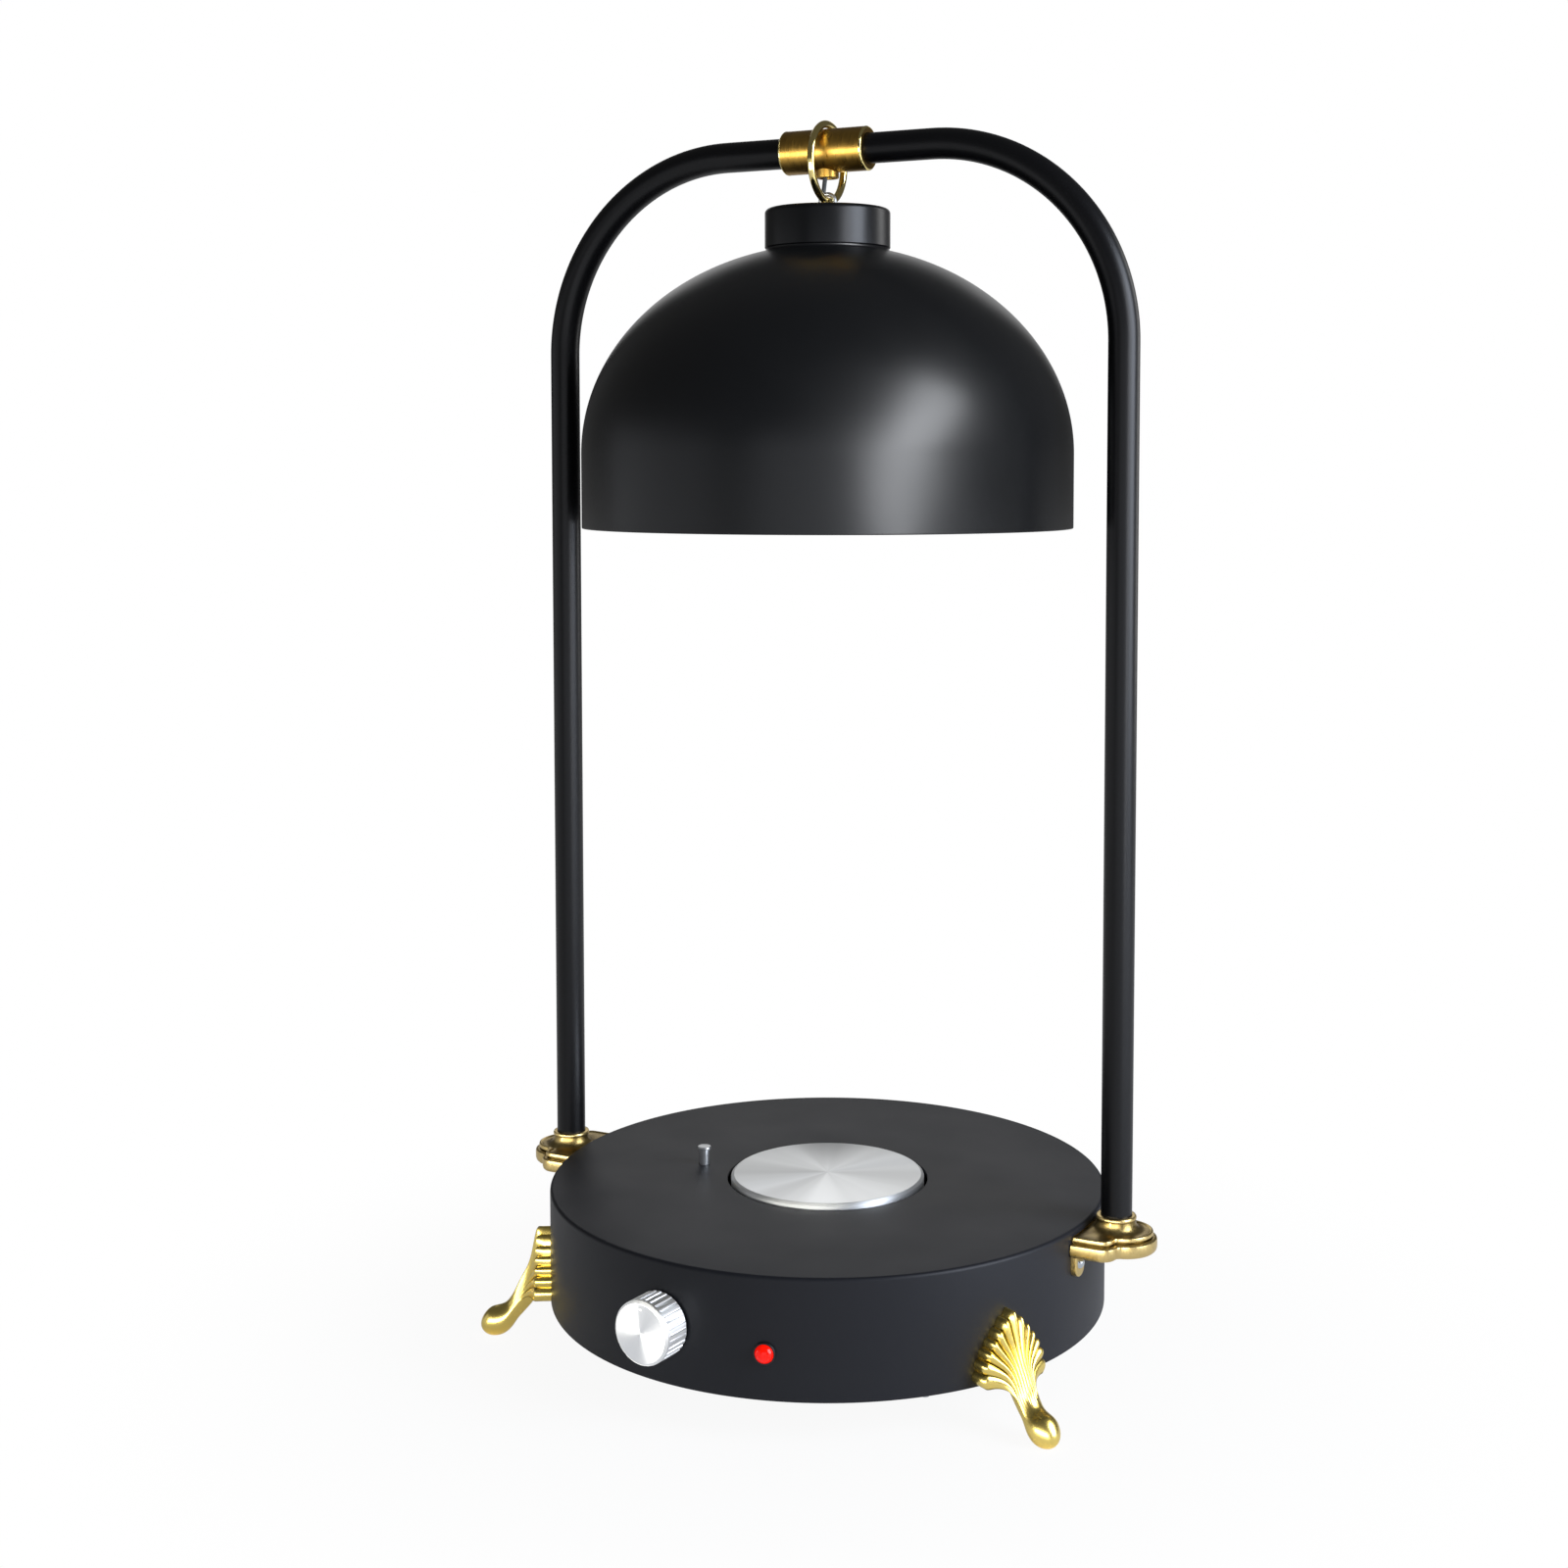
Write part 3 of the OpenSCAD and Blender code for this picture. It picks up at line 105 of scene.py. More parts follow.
# %% Colour and node helpers
def linear(hex_colour):
    screen = [int(hex_colour[i:i + 2], 16) / 255 for i in (1, 3, 5)]
    return tuple(c / 12.92 if c <= 0.04045 else ((c + 0.055) / 1.055) ** 2.4 for c in screen) + (1.0,)


def add_node(tree, kind, values=None, links=None, **settings):
    made = tree.nodes.new("ShaderNode" + kind)
    for field, setting in settings.items():
        setattr(made, field, setting)
    for socket, value in (values or {}).items():
        made.inputs[socket].default_value = value
    for socket, source in (links or {}).items():
        tree.links.new(source, made.inputs[socket])
    return made


def new_finish(name, colour, sockets):
    finish = bpy.data.materials.new(name)
    finish.use_nodes = True
    shader = finish.node_tree.nodes["Principled BSDF"]
    shader.inputs["Base Color"].default_value = linear(colour)
    for socket, value in sockets.items():
        shader.inputs[socket].default_value = value
    return finish, finish.node_tree, shader


def per_mm(size):
    return 1 / (size * MM)


print("helpers ready; mid grey is", round(linear("#808080")[0], 3))

# %% [markdown]
# ## Paints
# The drum, shade and hoop are steel with black paint. Powder coat dries with a faint grain, so the
# drum scatters light and looks charcoal; the shade's satin enamel is smoother and keeps a soft
# highlight; the tubes are the shiniest. Noise gives the grain a bump and the sheen small clouds.

# %% Black paints
def black_paint(name, colour, gloss, sheen, grain_mm, grain_depth_mm):
    finish, tree, shader = new_finish(name, colour, {"Specular IOR Level": gloss})
    place = add_node(tree, "TexCoord").outputs["Object"]
    grain = add_node(tree, "TexNoise", {"Scale": per_mm(grain_mm), "Detail": 3.0}, {"Vector": place})
    clouds = add_node(tree, "TexNoise", {"Scale": per_mm(45), "Detail": 2.0}, {"Vector": place})
    cloudy = add_node(tree, "MapRange", {"From Min": 0.3, "From Max": 0.7, "To Min": sheen[0], "To Max": sheen[1]},
                      {"Value": clouds.outputs["Fac"]})
    bump = add_node(tree, "Bump", {"Strength": 0.35, "Distance": grain_depth_mm * MM},
                    {"Height": grain.outputs["Fac"]})
    tree.links.new(cloudy.outputs["Result"], shader.inputs["Roughness"])
    tree.links.new(bump.outputs["Normal"], shader.inputs["Normal"])
    return finish


# Powder grain is about 0.5 mm; it is drawn at 1.1 mm so that it shows in the render.
powder_coat = black_paint("powder_coated_steel_black", "#1b1c21", 0.3, (0.46, 0.5), 1.1, 0.05)
satin_enamel = black_paint("satin_enamel_black", "#08090b", 0.36, (0.33, 0.37), 1.4, 0.012)
tube_enamel = black_paint("gloss_enamel_tube_black", "#08080a", 0.3, (0.32, 0.36), 1.4, 0.006)
print("paints:", powder_coat.name, satin_enamel.name, tube_enamel.name)

# %% [markdown]
# ## Turned aluminium
# The disc and the knob were faced on a lathe. The tool leaves fine circles, which stretch every
# highlight across them, so the face shows bright and dull wedges that meet in the middle. The
# wedges come from anisotropic gloss along the circles, and the circles from rings in the bump;
# wedges of painted highlight and painted shade are also laid into the base colour. On the side,
# past the face's radius, the gloss runs along the axis, as the flutes of the knob do.

# %% Turned aluminium for the disc and the knob
DRUM_R = 150.0
KNOB_TURN, KNOB_Z = -7, 52.5


def on_wall(angle, z, scale=1.0):
    """Where a piece stands on the drum's wall: its own Z points outwards and its Y up."""
    return (Matrix.Rotation(math.radians(angle), 4, "Z") @ Matrix.Translation((0, -DRUM_R * scale, z * scale))
            @ Matrix.Rotation(math.pi / 2, 4, "X"))


def turned_aluminium(name, colour, place_of_axis, ring_mm, sheen, face_mm, painted_sheen_dull):
    """Rings about ring_mm wide round an axis, and painted sheen: wedges of painted highlight and shade
    in the base colour, from the full colour down to its painted_sheen_dull share.

    The face ends at the radius face_mm; sheen is the roughness of the face and of the side."""
    finish, tree, shader = new_finish(name, colour, {"Metallic": 1.0, "Anisotropic": 0.8})
    to_axis = place_of_axis.inverted()
    place = add_node(tree, "TexCoord").outputs["Object"]
    centred = add_node(tree, "Mapping", {"Location": to_axis.translation, "Rotation": to_axis.to_euler()},
                       {"Vector": place})
    split = add_node(tree, "SeparateXYZ", None, {"Vector": centred.outputs["Vector"]})
    flat = add_node(tree, "CombineXYZ", None, {"X": split.outputs["X"], "Y": split.outputs["Y"]})
    radius = add_node(tree, "VectorMath", None, {0: flat.outputs["Vector"]}, operation="LENGTH")
    rings = add_node(tree, "TexNoise", {"Scale": per_mm(ring_mm), "Detail": 2.0},
                     {"W": radius.outputs["Value"]}, noise_dimensions="1D")
    bump = add_node(tree, "Bump", {"Strength": 0.2, "Distance": 0.02 * MM}, {"Height": rings.outputs["Fac"]})
    gloss = add_node(tree, "MapRange", {"From Min": (face_mm - 0.2) * MM, "From Max": face_mm * MM, "To Min": sheen[0],
                                        "To Max": sheen[1]}, {"Value": radius.outputs["Value"]})
    round_way = add_node(tree, "VectorMath", None, {0: flat.outputs["Vector"]}, operation="NORMALIZE")
    # Painted sheen: bright and dark wedges of highlight and shade are painted into the base colour.
    painted_sheen_wedges = add_node(tree, "TexNoise", {"Scale": 1.3, "Detail": 2.0}, {"Vector": round_way.outputs["Vector"]})
    painted_sheen_share = add_node(tree, "MapRange", {"From Min": 0.35, "From Max": 0.65, "To Min": painted_sheen_dull, "To Max": 1.0},
                    {"Value": painted_sheen_wedges.outputs["Fac"]})
    painted_sheen_colour = add_node(tree, "VectorMath", {0: linear(colour)[:3]}, {"Scale": painted_sheen_share.outputs["Result"]},
                      operation="SCALE")
    back = add_node(tree, "Math", {1: -1.0}, {0: split.outputs["Y"]}, operation="MULTIPLY")
    side = add_node(tree, "MapRange", {"From Min": (face_mm - 0.2) * MM, "From Max": face_mm * MM},
                    {"Value": radius.outputs["Value"]})
    circle = add_node(tree, "CombineXYZ", None, {"X": back.outputs["Value"], "Y": split.outputs["X"],
                                                 "Z": side.outputs["Result"]})
    along = add_node(tree, "Mapping", {"Rotation": place_of_axis.to_euler()}, {"Vector": circle.outputs["Vector"]},
                     vector_type="VECTOR")
    tree.links.new(painted_sheen_colour.outputs["Vector"], shader.inputs["Base Color"])
    tree.links.new(bump.outputs["Normal"], shader.inputs["Normal"])
    tree.links.new(along.outputs["Vector"], shader.inputs["Tangent"])
    tree.links.new(gloss.outputs["Result"], shader.inputs["Roughness"])
    return finish


# The last number of each is how dark the painted sheen wedges get.
disc_aluminium = turned_aluminium("turned_aluminium_disc", "#f2f4f5", Matrix.Identity(4), 0.9,
                                  (0.28, 0.6), 51.0, 0.74)
knob_aluminium = turned_aluminium("turned_aluminium_knob", "#f4f5f6", on_wall(KNOB_TURN, KNOB_Z, MM), 0.5,
                                  (0.44, 0.52), 15.0, 0.95)
print("turned:", disc_aluminium.name, knob_aluminium.name)

# %% [markdown]
# ## Gold and brass
# The feet and the ring are cast, polished and plated, so they mirror the room with only slight
# waves from the casting. The brackets, sleeve and cup are brushed brass that was toned dark and
# rubbed bright again on its edges: the Pointiness of the mesh tells edges from hollows there. On
# the feet an attribute of the mesh paints shade into the gold between the ribs.

# %% Gold plate and antique brass
def gold_plate(name, colour, patina_and_painted_shade, sheen, wave_mm):
    finish, tree, shader = new_finish(name, colour, {"Metallic": 1.0})
    place = add_node(tree, "TexCoord").outputs["Object"]
    waves = add_node(tree, "TexNoise", {"Scale": per_mm(wave_mm), "Detail": 2.0}, {"Vector": place})
    bump = add_node(tree, "Bump", {"Strength": 0.1, "Distance": 0.3 * MM}, {"Height": waves.outputs["Fac"]})
    hazy = add_node(tree, "MapRange", {"From Min": 0.3, "From Max": 0.7, "To Min": sheen[0], "To Max": sheen[1]},
                    {"Value": waves.outputs["Fac"]})
    # Painted shade: the attribute from the feet darkens the gold between the ribs.
    painted_rib_shade = add_node(tree, "Attribute", attribute_name="patina_and_painted_shade").outputs["Fac"]
    tone = add_node(tree, "ValToRGB", None, {"Fac": painted_rib_shade})
    tone.color_ramp.elements[0].position, tone.color_ramp.elements[0].color = 0.28, linear(colour)
    tone.color_ramp.elements[1].position, tone.color_ramp.elements[1].color = 0.85, linear(patina_and_painted_shade)
    tree.links.new(tone.outputs["Color"], shader.inputs["Base Color"])
    tree.links.new(bump.outputs["Normal"], shader.inputs["Normal"])
    tree.links.new(hazy.outputs["Result"], shader.inputs["Roughness"])
    return finish


def antique_brass(name, colour, patina_and_painted_shade, brush_scale):
    """brush_scale stretches the brushed lines: small along the brush, large across it."""
    finish, tree, shader = new_finish(name, colour, {"Metallic": 1.0})
    place = add_node(tree, "TexCoord").outputs["Object"]
    brushed = add_node(tree, "Mapping", {"Scale": brush_scale}, {"Vector": place})
    lines = add_node(tree, "TexNoise", {"Scale": per_mm(1.0), "Detail": 4.0}, {"Vector": brushed.outputs["Vector"]})
    stains = add_node(tree, "TexNoise", {"Scale": per_mm(9), "Detail": 4.0}, {"Vector": place})
    edge = add_node(tree, "NewGeometry").outputs["Pointiness"]
    spread = add_node(tree, "MapRange", {"From Min": 0.2, "From Max": 0.8, "To Min": -0.02, "To Max": 0.02},
                      {"Value": stains.outputs["Fac"]})
    rubbed = add_node(tree, "Math", None, {0: edge, 1: spread.outputs["Result"]}, operation="ADD")
    tone = add_node(tree, "ValToRGB", None, {"Fac": rubbed.outputs["Value"]})
    tone.color_ramp.elements[0].position, tone.color_ramp.elements[0].color = 0.45, linear(patina_and_painted_shade)
    tone.color_ramp.elements[1].position, tone.color_ramp.elements[1].color = 0.53, linear(colour)
    sheen = add_node(tree, "MapRange", {"From Min": 0.3, "From Max": 0.7, "To Min": 0.26, "To Max": 0.4},
                     {"Value": lines.outputs["Fac"]})
    bump = add_node(tree, "Bump", {"Strength": 0.2, "Distance": 0.03 * MM}, {"Height": lines.outputs["Fac"]})
    tree.links.new(tone.outputs["Color"], shader.inputs["Base Color"])
    tree.links.new(sheen.outputs["Result"], shader.inputs["Roughness"])
    tree.links.new(bump.outputs["Normal"], shader.inputs["Normal"])
    return finish


# Brushing lines are near 0.1 mm; they are drawn about 0.5 mm wide so that they show.
# On the gold the second colour is painted shade between the ribs; on the brass it is the patina of the hollows.
foot_gold = gold_plate("polished_gold_plate_cast", "#efd579", "#675812", (0.24, 0.3), 25)
ring_gold = gold_plate("polished_gold_wire", "#f2dc90", "#d8b860", (0.07, 0.11), 30)
bracket_brass = antique_brass("antique_brass_brushed", "#d2b97c", "#6d5a2c", (1.6, 1.6, 0.4))
sleeve_brass = antique_brass("antique_brass_turned", "#ae8a42", "#7a5a26", (2.0, 0.15, 0.15))
print("golds:", foot_gold.name, ring_gold.name, bracket_brass.name, sleeve_brass.name)

# %% [markdown]
# ## Small finishes
# Screws, nuts and the parts inside are plated, moulded or fired. They share one recipe: a base
# colour with slight clouds, a sheen that varies a little, and a fine grain in the bump. What
# differs is the colour, the metal and the gloss, so a table lists them.

# %% Plated, moulded and fired finishes
def plain_finish(name, colour, cloud, metal, sheen, grain_mm, **more):
    finish, tree, shader = new_finish(name, colour, {"Metallic": metal, **more})
    place = add_node(tree, "TexCoord").outputs["Object"]
    grain = add_node(tree, "TexNoise", {"Scale": per_mm(grain_mm), "Detail": 3.0}, {"Vector": place})
    clouds = add_node(tree, "TexNoise", {"Scale": per_mm(12), "Detail": 2.0}, {"Vector": place})
    tone = add_node(tree, "ValToRGB", None, {"Fac": clouds.outputs["Fac"]})
    tone.color_ramp.elements[0].position, tone.color_ramp.elements[0].color = 0.3, linear(cloud)
    tone.color_ramp.elements[1].position, tone.color_ramp.elements[1].color = 0.7, linear(colour)
    gloss = add_node(tree, "MapRange", {"From Min": 0.3, "From Max": 0.7, "To Min": sheen, "To Max": sheen + 0.08},
                     {"Value": grain.outputs["Fac"]})
    bump = add_node(tree, "Bump", {"Strength": 0.15, "Distance": 0.02 * MM}, {"Height": grain.outputs["Fac"]})
    tree.links.new(tone.outputs["Color"], shader.inputs["Base Color"])
    tree.links.new(gloss.outputs["Result"], shader.inputs["Roughness"])
    tree.links.new(bump.outputs["Normal"], shader.inputs["Normal"])
    return finish


finish_of = {
    "drum_paint": powder_coat, "shade_paint": satin_enamel, "tube_paint": tube_enamel,
    "spun_aluminium": disc_aluminium, "gold_plate": foot_gold, "antique_brass": bracket_brass,
    "zinc_screws": plain_finish("zinc_plated_screw", "#d3d7da", "#bfc4c8", 1.0, 0.18, 0.6),
    "zinc_nuts": plain_finish("zinc_plated_nut", "#c9cdd0", "#aeb3b8", 1.0, 0.28, 0.8),
    "black_oxide": plain_finish("black_oxide_steel", "#2a2b2d", "#1d1e20", 1.0, 0.4, 0.6),
    "heater_metal": plain_finish("mica_and_foil_heater", "#b58a4a", "#94703a", 0.0, 0.5, 1.5),
    "plated_strip": plain_finish("zinc_plated_strip", "#c4c8cb", "#a9aeb2", 1.0, 0.32, 1.2),
    "white_ceramic": plain_finish("glazed_porcelain", "#f2efe6", "#e9e4d6", 0.0, 0.14, 2.0),
    "cutout_case": plain_finish("steatite_cutout_case", "#c9b78f", "#b5a27a", 0.0, 0.5, 0.8),
    "bright_steel": plain_finish("turned_bright_steel", "#dcdedf", "#c8cacc", 1.0, 0.36, 0.5),
    "shaft_brass": plain_finish("drawn_brass_shaft", "#c9a14a", "#b08a3a", 1.0, 0.25, 0.5),
    "red_lens": plain_finish("red_acrylic_lens", "#f01002", "#e00e02", 0.0, 0.12, 3.0),
    "black_plastic": plain_finish("moulded_black_nylon", "#141517", "#0d0e0f", 0.0, 0.4, 0.7),
    "ivory_plastic": plain_finish("moulded_ivory_polyamide", "#ece7d8", "#ded8c4", 0.0, 0.42, 0.8),
    "lead_sheath": plain_finish("grey_silicone_sheath", "#777a7c", "#65686a", 0.0, 0.45, 0.8),
    "frosted_glass": plain_finish("frosted_white_glass", "#f1eee6", "#e6e1d4", 0.0, 0.35, 0.4),
}
lens_light = finish_of["red_lens"].node_tree.nodes["Principled BSDF"]
lens_light.inputs["Emission Color"].default_value = linear("#ff1200")
lens_light.inputs["Emission Strength"].default_value = 0.55
lens_light.inputs["Specular IOR Level"].default_value = 0.35
print("finishes:", len(finish_of))

# %% [markdown]
# ## Carried-over nodes
# Most pieces inside the drum are right as they come from the frame and hardly show. They keep
# their shape, and each gets the finish that the record's slot asks for.

# %% Finish every node of the frame
slot_of = {row["node"]: row["material_slot"] for row in frame["record"]["subparts"]}
for name, shape in nodes.items():
    shape.data.materials.clear()
    shape.data.materials.append(finish_of[slot_of[name]])
print("finished nodes:", len(slot_of))

# %% [markdown]
# ## Making a piece
# Round pieces are drawn as half an outline and spun, as on a lathe. Corners of the outline are
# rounded by bevelling its points before the spin, which is cheaper than bevelling edges after.
# Lengths are in millimetres until a piece is done; then it is scaled to metres and put on its body.

# %% Lathe, drill and finish helpers
def lathe(outline, rounded=None, steps=160, closed=True):
    bm = bmesh.new()
    corners = [bm.verts.new((radius, 0, height)) for radius, height in outline]
    count = len(corners)
    for i in range(count if closed else count - 1):
        bm.edges.new((corners[i], corners[(i + 1) % count]))
    for index, radius in (rounded or {}).items():
        bmesh.ops.bevel(bm, geom=[corners[index]], offset=radius, offset_type="OFFSET", affect="VERTICES",
                        segments=6, profile=0.5, material=-1, clamp_overlap=True)
    bmesh.ops.spin(bm, geom=bm.verts[:] + bm.edges[:], cent=(0, 0, 0), axis=(0, 0, 1), dvec=(0, 0, 0),
                   angle=math.tau, steps=steps, use_merge=True, use_duplicate=False)
    bmesh.ops.remove_doubles(bm, verts=bm.verts, dist=0.0005)
    bmesh.ops.recalc_face_normals(bm, faces=bm.faces)
    return bm


def move(bm, matrix):
    bmesh.ops.transform(bm, matrix=matrix, verts=bm.verts)
    return bm


def as_object(bm, name):
    mesh = bpy.data.meshes.new(name)
    bm.to_mesh(mesh)
    bm.free()
    shape = bpy.data.objects.new(name, mesh)
    bpy.context.collection.objects.link(shape)
    return shape


def drill(blank, cutter):
    """Takes the cutter away from the blank, both bmeshes, with a boolean that is applied at once."""
    shapes = [as_object(blank, "blank"), as_object(cutter, "cutter")]
    hole = shapes[0].modifiers.new("hole", "BOOLEAN")
    hole.object, hole.operation, hole.solver = shapes[1], "DIFFERENCE", "EXACT"
    bpy.context.view_layer.update()
    drilled = bmesh.new()
    drilled.from_mesh(shapes[0].evaluated_get(bpy.context.evaluated_depsgraph_get()).to_mesh())
    for shape in shapes:
        bpy.data.objects.remove(shape)
    return drilled


def finish_piece(bm, name, slot, body, replaced, finish=None, sharp=32):
    bmesh.ops.scale(bm, vec=(MM, MM, MM), verts=bm.verts)
    piece = as_object(bm, name)
    piece.data.shade_smooth()
    piece.data.set_sharp_from_angle(angle=math.radians(sharp))
    piece.data.materials.append(finish or finish_of[slot])
    if body:
        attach(piece, body)
    if replaced:
        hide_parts(*replaced)
    print(name, len(piece.data.polygons), "faces")
    return piece


def join(*shapes):
    """One bmesh of several separate shells."""
    whole = bmesh.new()
    for shape in shapes:
        mesh = bpy.data.meshes.new("shell")
        shape.to_mesh(mesh)
        shape.free()
        whole.from_mesh(mesh)
        bpy.data.meshes.remove(mesh)
    return whole


print("piece helpers ready")

# %% [markdown]
# ## Drum
# A spun steel drum with a turned-in lip below and a hole in the top for the disc. Its rim is a
# tight 2 mm radius, so it catches a thin line of light. Holes for the pin, the knob's shaft, the
# pilot light and the bush are drilled all at once, by one cutter that joins four rods.

# %% Drum shell
DRUM_LOW, DRUM_TOP, SHEET, LIP_R, DISC_HOLE_R = 22.0, 83.0, 1.5, 136.5, 54.3
PIN = (-71.0, -10.0)
LENS_TURN, LENS_Z = 14, 45.5
BUSH_TURN, BUSH_Z = 160, 40
INNER_R = DRUM_R - SHEET
drum = lathe([(DRUM_R, DRUM_LOW), (DRUM_R, DRUM_TOP), (DISC_HOLE_R, DRUM_TOP), (DISC_HOLE_R, DRUM_TOP - SHEET),
              (INNER_R, DRUM_TOP - SHEET), (INNER_R, DRUM_LOW + SHEET), (LIP_R, DRUM_LOW + SHEET),
              (LIP_R, DRUM_LOW)], {0: 0.7, 1: 2.0, 2: 0.4}, steps=240)
holes = [(3.05, Matrix.Translation((*PIN, DRUM_TOP))), (5.1, on_wall(KNOB_TURN, KNOB_Z)),
         (4.1, on_wall(LENS_TURN, LENS_Z)), (6.1, on_wall(BUSH_TURN, BUSH_Z))]
bits = [move(lathe([(0, -5), (radius, -5), (radius, 5), (0, 5)], steps=40, closed=False), place)
        for radius, place in holes]
drum = drill(drum, join(*bits))
finish_piece(drum, "drum", "drum_paint", "frame", ["drum_shell"])

# %% [markdown]
# ## Warming disc
# A thick aluminium disc that stands 2.5 mm proud. The rim has a turned bevel, which shows as the
# bright ring round it.

# %% Disc
DISC_TOP, DISC_LOW, DISC_R, BEVEL_W, BEVEL_H = 85.5, 75.5, 52.5, 1.6, 1.3
disc = lathe([(0, DISC_TOP), (DISC_R - BEVEL_W, DISC_TOP), (DISC_R, DISC_TOP - BEVEL_H), (DISC_R, DISC_LOW),
              (0, DISC_LOW)], {1: 0.3, 2: 0.4}, steps=200, closed=False)
finish_piece(disc, "warming_disc", "spun_aluminium", "frame", ["heat_disc"])

# %% [markdown]
# ## Push pin
# A turned steel pin with a thin head, pressed by a dish. It slides through the drum's top, with a
# collar below that stops it, and a spring pushes it up again. The spring is a circle that is spun
# and lifted at once.

# %% Pin and spring
PIN_TOP, PIN_COLLAR = DRUM_TOP + 10, DRUM_TOP - SHEET - 0.3
PIN_NECK, PIN_FOOT, PIN_END = PIN_TOP - 1.5, PIN_COLLAR - 2, PIN_COLLAR - 20
HEAD_R, SHAFT_R, COLLAR_R, STEM_R = 3.75, 2.75, 5, 1.5
pin = lathe([(0, PIN_TOP), (HEAD_R, PIN_TOP), (HEAD_R, PIN_NECK), (SHAFT_R, PIN_NECK), (SHAFT_R, PIN_COLLAR),
             (COLLAR_R, PIN_COLLAR), (COLLAR_R, PIN_FOOT), (STEM_R, PIN_FOOT), (STEM_R, PIN_END), (0, PIN_END)],
            {1: 0.5, 2: 0.2}, steps=64, closed=False)
finish_piece(move(pin, Matrix.Translation((*PIN, 0))), "pin", "bright_steel", "pin", ["push_pin"])

SPRING_H, SPRING_LOW, SPRING_TURNS, SPRING_STEPS = 11.0, 68.1, 5, 200
SPRING_R, SPRING_WIRE_R = 3.6, 0.3
spring = bmesh.new()
bmesh.ops.create_circle(spring, segments=12, radius=SPRING_WIRE_R, cap_ends=True)
move(spring, Matrix.Translation((SPRING_R, 0, SPRING_LOW + 0.35)) @ Matrix.Rotation(math.pi / 2, 4, "X"))
bmesh.ops.spin(spring, geom=spring.faces[:], cent=(0, 0, 0), axis=(0, 0, 1),
               dvec=(0, 0, (SPRING_H - 2 * SPRING_WIRE_R) / SPRING_STEPS), angle=math.tau * SPRING_TURNS,
               steps=SPRING_STEPS, use_merge=False, use_duplicate=False)
bmesh.ops.recalc_face_normals(spring, faces=spring.faces)
spring = finish_piece(move(spring, Matrix.Translation((*PIN, 0))), "pin_return_spring", "zinc_nuts", "frame",
                      ["pin_spring"])
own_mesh(spring)

# %% [markdown]
# ## Knob
# Turned from bar, with 32 flutes milled along its side up to a plain band at the front, a bevel
# round the face and one small drilled dot as a pointer. The side starts as a circle with eight
# points to a flute; pulling in the points between the ribs makes the flutes.

# %% Knob
KNOB_R, KNOB_GAP, KNOB_H, FLUTES, FLUTE_DEPTH, BAND = 16.0, 0.8, 16.5, 32, 0.75, 2.6
BAND_LOW, DOT_PLACE = KNOB_H - BAND, (0, 12, KNOB_H)
knob = lathe([(0, 0), (KNOB_R - 0.6, 0), (KNOB_R, 0.6), (KNOB_R, BAND_LOW - 0.6), (KNOB_R, BAND_LOW),
              (KNOB_R, KNOB_H - 1.2), (KNOB_R - 1.3, KNOB_H), (0, KNOB_H)], {5: 0.3, 6: 0.25}, steps=8 * FLUTES,
             closed=False)
for vert in knob.verts:
    across = math.hypot(vert.co.x, vert.co.y)
    if KNOB_R - 0.1 < across and vert.co.z < BAND_LOW - 0.3:
        turn = math.atan2(vert.co.y, vert.co.x) * FLUTES
        painted_rib_shade = FLUTE_DEPTH * max(0.0, -math.cos(turn)) ** 0.7
        vert.co.x *= 1 - painted_rib_shade / across
        vert.co.y *= 1 - painted_rib_shade / across
dot = lathe([(0, -1.1), (0.9, -0.7), (0.9, 1), (0, 1)], steps=24, closed=False)
knob = drill(knob, move(dot, Matrix.Translation(DOT_PLACE)))
knob = move(knob, on_wall(KNOB_TURN, KNOB_Z) @ Matrix.Translation((0, 0, KNOB_GAP)))
finish_piece(knob, "knob", "spun_aluminium", "knob", ["control_knob"], knob_aluminium, sharp=28)

# %% [markdown]
# ## Pilot light
# A red domed lens in a black bezel. The dome is an arc spun into a cap, and it glows faintly.

# %% Lens and bezel
LENS_R, LENS_H, BEZEL_R, BEZEL_T, LIP, BARREL_R, BARREL_LEN = 4.75, 3.6, 5.55, 0.8, 0.5, 4, 18
cap_r = (LENS_R ** 2 + LENS_H ** 2) / (2 * LENS_H)
half = math.asin(LENS_R / cap_r)
arc = [(cap_r * math.sin(half * (1 - i / 16)), LENS_H - cap_r + cap_r * math.cos(half * (1 - i / 16)))
       for i in range(17)]
lens_cap = lathe([(0, -0.2), (LENS_R, -0.2)] + arc, steps=64, closed=False)
lens_cap = move(lens_cap, on_wall(LENS_TURN, LENS_Z) @ Matrix.Translation((0, 0, BEZEL_T + 0.1)))
finish_piece(lens_cap, "pilot_lens", "red_lens", "frame", ["indicator_lens"])
bezel = lathe([(0, 0.1), (BEZEL_R, 0.1), (BEZEL_R, BEZEL_T + LIP), (LENS_R, BEZEL_T + LIP), (LENS_R - 0.4, BEZEL_T),
               (0, BEZEL_T)], {2: 0.5, 3: 0.2}, steps=64, closed=False)
barrel = lathe([(0, -BARREL_LEN), (BARREL_R, -BARREL_LEN), (BARREL_R, 0.3), (0, 0.3)], {1: 0.4}, steps=40,
               closed=False)
finish_piece(move(join(bezel, barrel), on_wall(LENS_TURN, LENS_Z)), "pilot_bezel", "black_plastic", "frame",
             ["indicator_body"])

# %% [markdown]
# ## Feet
# Each foot is one casting: a scalloped palmette lies on the wall, its ribs flow down into a neck, and
# the neck ends in a round toe. No operator makes that, but a flat grid can be wrapped into it: its
# columns run once round the foot, over the front and back along the wall, until the last lies on
# the first; its rows follow the ribs from their tips to the toe. How deep a point lies between two
# ribs is kept as an attribute, which paints shade into the plate there.

